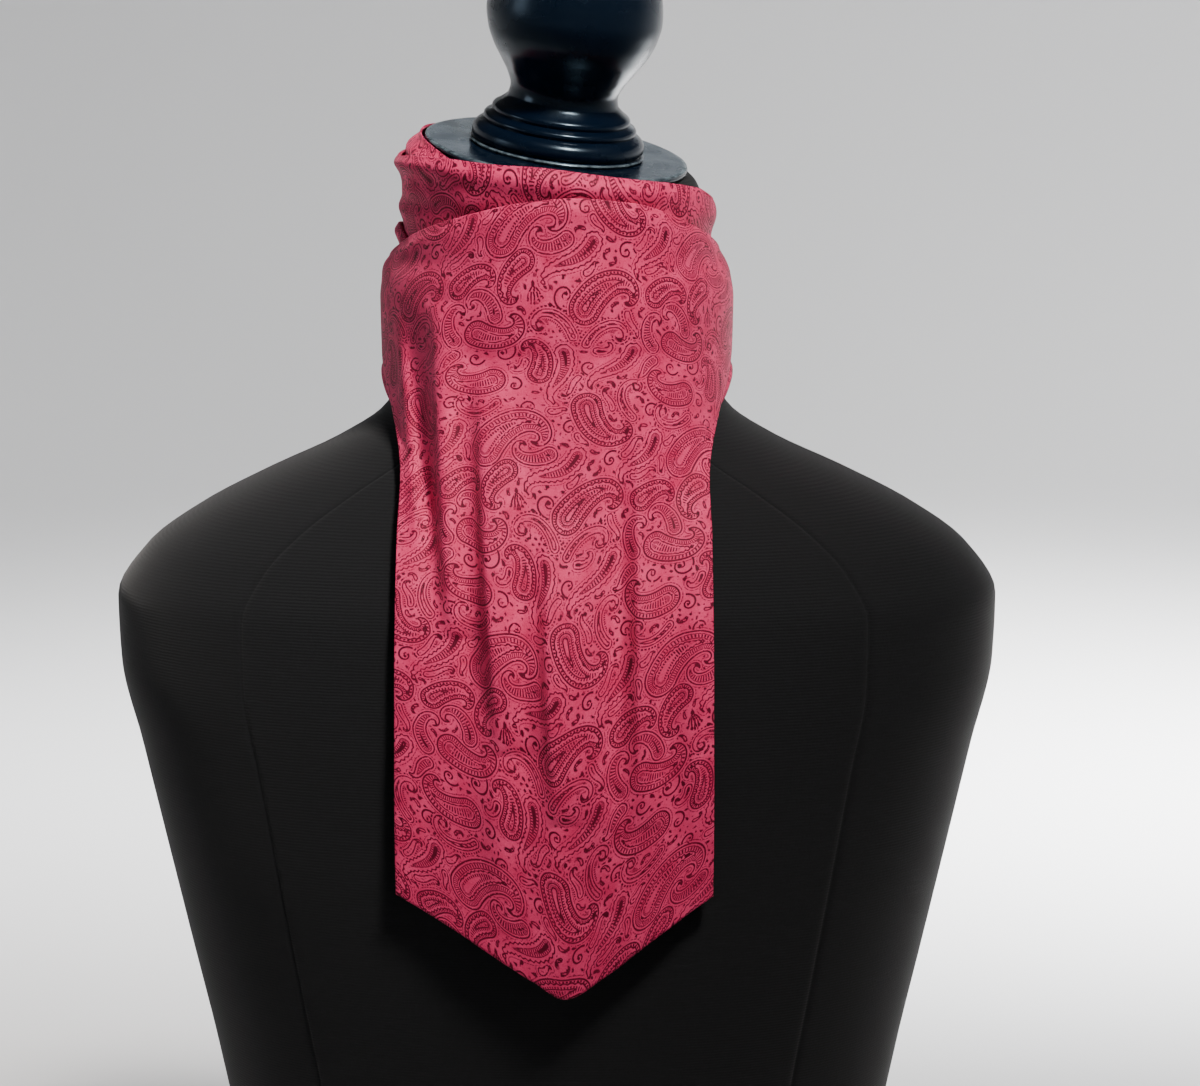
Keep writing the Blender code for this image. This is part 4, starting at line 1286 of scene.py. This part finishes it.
def printed_cotton():
    """Fine mercerised cotton, woven plain and printed: a rose ground with crimson paisley,
    whose edges bleed a little, and the soft low sheen of smooth yarn."""
    made, tree, shader = new_material("printed_cotton")
    place = add(tree, "Attribute", attribute_name="cloth_place").outputs["Vector"]
    line, following, dash = [
        add(tree, "SeparateXYZ", [
            add(tree, "Attribute", attribute_name=attribute).outputs["Vector"]
        ]).outputs
        for attribute in ("print_line", "print_next", "print_dash")
    ]

    # How far off the ink of the nearest line, the next motif's line, dash and drop a place is.
    far, far_next = (add(tree, "Math", [each["X"]], operation="ABSOLUTE") for each in (line, following))
    off_line = add(tree, "Math", [far, line["Y"]], operation="SUBTRACT")
    off_next = add(tree, "Math", [far_next, following["Y"]], operation="SUBTRACT")
    passed = add(tree, "Math", [dash["X"]], operation="FRACT")
    passed = add(tree, "Math", [passed, 0.5], operation="SUBTRACT")
    passed = add(tree, "Math", [passed], operation="ABSOLUTE")
    across = add(tree, "Math", [passed, following["Z"]], operation="SUBTRACT")
    across = add(tree, "Math", [across, DASH_PITCH], operation="MULTIPLY")
    beyond = add(tree, "Math", [dash["Y"]], operation="ABSOLUTE")
    beyond = add(tree, "Math", [beyond, dash["Z"]], operation="SUBTRACT")
    off_ink = add(tree, "Math", [across, beyond], operation="MAXIMUM")
    for other in (line["Z"], off_next, off_line):
        off_ink = add(tree, "Math", [off_ink, other], operation="MINIMUM")

    # Ink bleeds along the yarns, by about a tenth of a millimetre.
    bleed = add(tree, "TexNoise", {"Vector": place, "Scale": 1 / FIBRE, "Detail": 2.0})
    bleed = add(tree, "Math", [bleed.outputs["Fac"], 0.5], operation="SUBTRACT")
    bleed = add(tree, "Math", [bleed, INK_BLEED], operation="MULTIPLY")
    off_ink = add(tree, "Math", [off_ink, bleed], operation="ADD")
    ink = add(tree, "MapRange", {"Value": off_ink, "From Min": -INK_SOFT, "From Max": INK_SOFT,
                                 "To Min": 1.0, "To Max": 0.0})

    # The ink is thinner in places, and the ground's dye uneven, in clouds and in fine grain.
    cloudy = add(tree, "TexNoise", {"Vector": place, "Scale": 1 / CLOUD, "Detail": 3.0})
    strength = add(tree, "MapRange", {"Value": cloudy.outputs["Fac"], "From Min": 0.3,
                                      "From Max": 0.7, "To Min": 0.90, "To Max": 1.0})
    grain = add(tree, "TexNoise", {"Vector": place, "Scale": 1 / GRAIN, "Detail": 3.0,
                                   "Roughness": 0.8})
    uneven = add(tree, "Math", [cloudy.outputs["Fac"], grain.outputs["Fac"]], operation="ADD")
    uneven = add(tree, "Math", [uneven, 1.3, -0.8], operation="MULTIPLY_ADD")
    ground = add(tree, "Mix", {"Factor": uneven, "A": linear("#BA1A4C"), "B": linear("#EC4A7A")},
                 data_type="RGBA")
    inked = add(tree, "Math", [ink, strength], operation="MULTIPLY")
    cloth = add(tree, "Mix", {"Factor": inked, "A": ground.outputs["Result"],
                              "B": linear("#4A0018")}, data_type="RGBA")

    # The weave: threads run both ways.
    across, down = (
        add(tree, "TexWave", {"Vector": place, "Scale": WAVE / THREAD, "Distortion": 0.6,
                              "Detail": 1.0}, bands_direction=way).outputs["Fac"]
        for way in ("X", "Y")
    )
    weave = add(tree, "Math", [across, down], operation="ADD")
    feed(tree, shader, {
        "Base Color": cloth.outputs["Result"],
        "Normal": add(tree, "Bump", {"Height": weave, "Strength": 0.12, "Distance": 0.0001}),
        "Roughness": add(tree, "Math", [ink, -0.05, 0.66], operation="MULTIPLY_ADD"),
        "Specular IOR Level": 0.12,
        "Sheen Weight": 0.16,
        "Sheen Roughness": 0.45,
        "Sheen Tint": linear("#FF9FB2"),
    })
    return made


def black_lacquer():
    """Turned wood in blue-black gloss lacquer: deep, wet looking, with dust that dulls it in patches,
    and a lighter grey line painted in patches along the disc's rim and the finial's lowest lip: in
    part a painted reflection of the light on those edges, in part rubbed wear."""
    made, tree, shader = new_material("black_lacquer")
    place = add(tree, "TexCoord").outputs["Object"]

    # Height above the disc and distance from the axis, both in mm.
    axis = tuple(cap_axis.normalized())
    off = add(tree, "VectorMath", [place, tuple(cap_middle)], operation="SUBTRACT")
    rise = add(tree, "VectorMath", [off, axis], operation="DOT_PRODUCT").outputs["Value"]
    aside = add(tree, "VectorMath", [off, axis], operation="CROSS_PRODUCT")
    aside = add(tree, "VectorMath", [aside], operation="LENGTH").outputs["Value"]
    height = add(tree, "Math", [rise, MM], operation="DIVIDE")
    radius = add(tree, "Math", [aside, MM], operation="DIVIDE")
    above = add(tree, "Math", [height, LIP_LOW], operation="GREATER_THAN")
    below = add(tree, "Math", [height, LIP_HIGH], operation="LESS_THAN")
    on_lip = add(tree, "Math", [above, below], operation="MULTIPLY")
    outside = add(tree, "Math", [radius, CAP_RADIUS - RIM_WIDE], operation="GREATER_THAN")
    above = add(tree, "Math", [height, -RIM_DEEP], operation="GREATER_THAN")
    on_rim = add(tree, "Math", [outside, above], operation="MULTIPLY")
    edge = add(tree, "Math", [on_lip, on_rim], operation="MAXIMUM")
    edge_noise, dust, waviness = (
        add(tree, "TexNoise", {"Vector": place, "Scale": 1 / (size * MM), "Detail": detail}).outputs["Fac"]
        for size, detail in ((EDGE_PATCHES, 4.0), (DUST, 5.0), (WAVINESS, 3.0))
    )
    patchy_edge = add(tree, "MapRange", {"Value": edge_noise, "From Min": 0.36, "From Max": 0.6,
                                    "To Min": 0.15, "To Max": 0.8})
    # The lighter grey along the rim and lip is a painted reflection of light on those edges, and in part
    # rubbed wear.
    lit_and_worn_edge = add(tree, "Math", [edge, patchy_edge], operation="MULTIPLY")
    tone = add(tree, "Mix", {"Factor": lit_and_worn_edge, "A": linear("#030C1A"), "B": linear("#5C6A70")},
               data_type="RGBA")
    feed(tree, shader, {
        "Base Color": tone.outputs["Result"],
        "Roughness": add(tree, "MapRange", {"Value": dust, "From Min": 0.35, "From Max": 0.7,
                                            "To Min": 0.19, "To Max": 0.34}),
        "Normal": add(tree, "Bump", {"Height": waviness, "Strength": 0.06, "Distance": 0.0003}),
        "Specular Tint": linear("#A9C4D6"),
        "Specular IOR Level": 0.46,
    })
    return made


def black_jersey():
    """Black cotton jersey stretched over the form: matte, with fine knitted ribs and a little
    lint."""
    made, tree, shader = new_material("black_jersey")
    place = add(tree, "TexCoord").outputs["Object"]
    ribs = add(tree, "TexWave", {"Vector": place, "Scale": WAVE / (RIB * MM), "Distortion": 1.2,
                                 "Detail": 2.0}, bands_direction="Z").outputs["Fac"]
    lint = add(tree, "TexNoise", {"Vector": place, "Scale": 1 / (LINT * MM),
                                  "Detail": 4.0}).outputs["Fac"]
    tone = add(tree, "Mix", {"Factor": lint, "A": linear("#060708"), "B": linear("#101215")},
               data_type="RGBA")
    height = add(tree, "Math", [ribs, lint], operation="ADD")
    feed(tree, shader, {
        "Base Color": tone.outputs["Result"],
        "Normal": add(tree, "Bump", {"Height": height, "Strength": 0.3, "Distance": 0.0002}),
        "Roughness": 0.88,
        "Sheen Weight": 0.1,
        "Specular IOR Level": 0.2,
    })
    return made


def black_board():
    """A board painted in black eggshell paint, brushed along its length."""
    made, tree, shader = new_material("black_board")
    place = add(tree, "TexCoord").outputs["Object"]
    brushed = add(tree, "Mapping", {"Vector": place, "Scale": (4, 60, 60)})
    marks = add(tree, "TexNoise", {"Vector": brushed, "Scale": 20.0, "Detail": 4.0})
    rough = add(tree, "MapRange", {"Value": marks.outputs["Fac"], "To Min": 0.38, "To Max": 0.6})
    feed(tree, shader, {"Base Color": linear("#1A1817"), "Roughness": rough})
    return made


def backdrop_paper():
    """Smooth matte paper in a pale neutral grey."""
    made, tree, shader = new_material("backdrop_paper")
    feed(tree, shader, {"Base Color": linear("#D9D9DA"), "Roughness": 0.9})
    return made


# ---------------------------------------------------------------- camera, light and stage

CAMERA_DISTANCE = 1.5       # m from the cap, along the view
CAMERA_PITCH = 9.5          # degrees down
LENS, SENSOR = 108.7, 36.0  # mm
CAP_LEFT, CAP_UP = 0.0180, 0.1635   # m, the cap's middle from the view's axis


def place_camera():
    """The camera looks down a little at the neck, with the cap high and left of the middle."""
    pitch = math.radians(CAMERA_PITCH)
    up = np.array((0.0, math.sin(pitch), math.cos(pitch)))
    ahead = np.array((0.0, math.cos(pitch), -math.sin(pitch)))
    place = cap_middle + np.array((CAP_LEFT, 0, 0)) - CAP_UP * up - CAMERA_DISTANCE * ahead
    data = bpy.data.cameras.new("camera")
    data.lens = LENS
    data.sensor_width = SENSOR
    made = bpy.data.objects.new("camera", data)
    made.location = place
    made.rotation_euler = (math.radians(90) - pitch, 0.0, 0.0)
    bpy.context.scene.collection.objects.link(made)
    bpy.context.scene.camera = made


LIGHT_COLUMNS = ("name", "place", "aim", "size", "spread", "power", "colour")
LIGHTS = (
    ("key", (0.60, -1.0, 2.2), (-0.28, 0.0, 0.38), 0.34, 34, 4.2, "#FFF8F2"),
    ("left", (-1.5, -0.4, 0.9), (0.0, 0.0, 0.58), 0.5, 40, 0.18, "#EEF4FF"),
    ("disc", (0.12, 1.5, 1.15), (0.0, 0.0, 0.53), 0.6, 180, 0.75, "#DCEBF5"),
    ("low_right", (0.8, 0.8, 1.3), (0.5, 1.1, 0.0), 0.6, 72, 33.0, "#FFFFFF"),
    ("low_left", (-0.8, 0.8, 1.3), (-0.5, 1.1, 0.0), 0.6, 72, 6.5, "#FFFFFF"),
)

# Lamps in a ring that face away from the object and light the paper all round.
RING_COLUMNS = ("azimuth", "power")
RING = (
    (0.0, 5.0),
    (60.0, 5.0),
    (120.0, 17.0),
    (160.0, 23.0),
    (205.0, 10.5),
    (245.0, 9.0),
    (300.0, 5.0),
)
RING_RADIUS, RING_HEIGHT = 1.9, 2.1     # m
RING_AIM_RADIUS, RING_AIM_HEIGHT = 2.7, 0.1
RING_SIZE, RING_SPREAD = 0.7, 110

SKY_STRENGTH = 0.06
FLOOR_RADIUS, FLOOR_SWEEP, FLOOR_WALL = 3400.0, 900.0, 900.0    # mm


def round_place(azimuth, radius, height):
    """A place at an azimuth and radius round the object, in m."""
    turn = math.radians(azimuth)
    return radius * math.sin(turn), -radius * math.cos(turn), height


def place_lights():
    """Soft boxes for the cloth and the paper, and a dim even sky."""
    ring = [
        (f"ring_{row['azimuth']:.0f}", round_place(row["azimuth"], RING_RADIUS, RING_HEIGHT),
         round_place(row["azimuth"], RING_AIM_RADIUS, RING_AIM_HEIGHT), RING_SIZE, RING_SPREAD,
         row["power"], "#FFFFFF")
        for row in named(RING, RING_COLUMNS)
    ]
    for light in named([*LIGHTS, *ring], LIGHT_COLUMNS):
        data = bpy.data.lights.new(light["name"], "AREA")
        data.size = light["size"]
        data.energy = light["power"]
        data.spread = math.radians(light["spread"])
        data.color = linear(light["colour"])[:3]
        made = bpy.data.objects.new(light["name"], data)
        made.location = light["place"]
        made.rotation_mode = "QUATERNION"
        made.rotation_quaternion = (Vector(light["aim"]) - made.location).to_track_quat("-Z", "Y")
        bpy.context.scene.collection.objects.link(made)
    world = bpy.data.worlds.new("sky")
    world.use_nodes = True
    sky = world.node_tree.nodes["Background"]
    sky.inputs["Color"].default_value = linear("#D7DADF")
    sky.inputs["Strength"].default_value = SKY_STRENGTH
    bpy.context.scene.world = world


def place_floor():
    """A plain pale floor of paper, round, that sweeps up all round into a low wall."""
    turns = np.radians(np.linspace(0.0, 90.0, 19))
    radius = FLOOR_RADIUS - FLOOR_SWEEP * (1 - np.sin(turns))
    height = FLOOR_SWEEP * (1 - np.cos(turns))
    profile = np.stack((np.append(radius, radius[-1]), np.append(height, height[-1] + FLOOR_WALL)), axis=1)
    points = turned_points(profile, np.arange(0.0, 360.0, 3.0)) - cap_middle / MM
    made = grid_object("floor", points, True, caps=("top",))
    made.data.materials.append(materials["backdrop_paper"])
    bpy.context.scene.collection.objects.link(made)


# The middle of the cap's top, from the nodes that carry it, and the axis that it leans to.
low, high = (np.array(corner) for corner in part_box("form_torso"))
board_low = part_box("form_board")[0]
back_reach = column(FORM_SECTIONS, FORM_COLUMNS, "back").max() * MM
cap_middle = np.array((
    (low[0] + high[0]) / 2,
    high[1] - back_reach,
    board_low[2] + (WAIST_DROP + GAP + BOARD_THICKNESS) * MM,
))
cap_axis = Vector((math.tan(math.radians(CAP_ROLL)), -math.tan(math.radians(CAP_PITCH)), 1.0))

chart = draw_print()
materials = {make.__name__: make() for make in
             (printed_cotton, black_lacquer, black_jersey, black_board, backdrop_paper)}
build_torso()
build_board()
build_turned("neck_cap_disc", "neck_cap", CAP_PROFILE)
build_turned("finial_turned", "finial", FINIAL_PROFILE)
build_inner_band()
build_outer_band()
build_side_wrap()
build_under_blade()
build_front_blade()
place_camera()
place_lights()
place_floor()
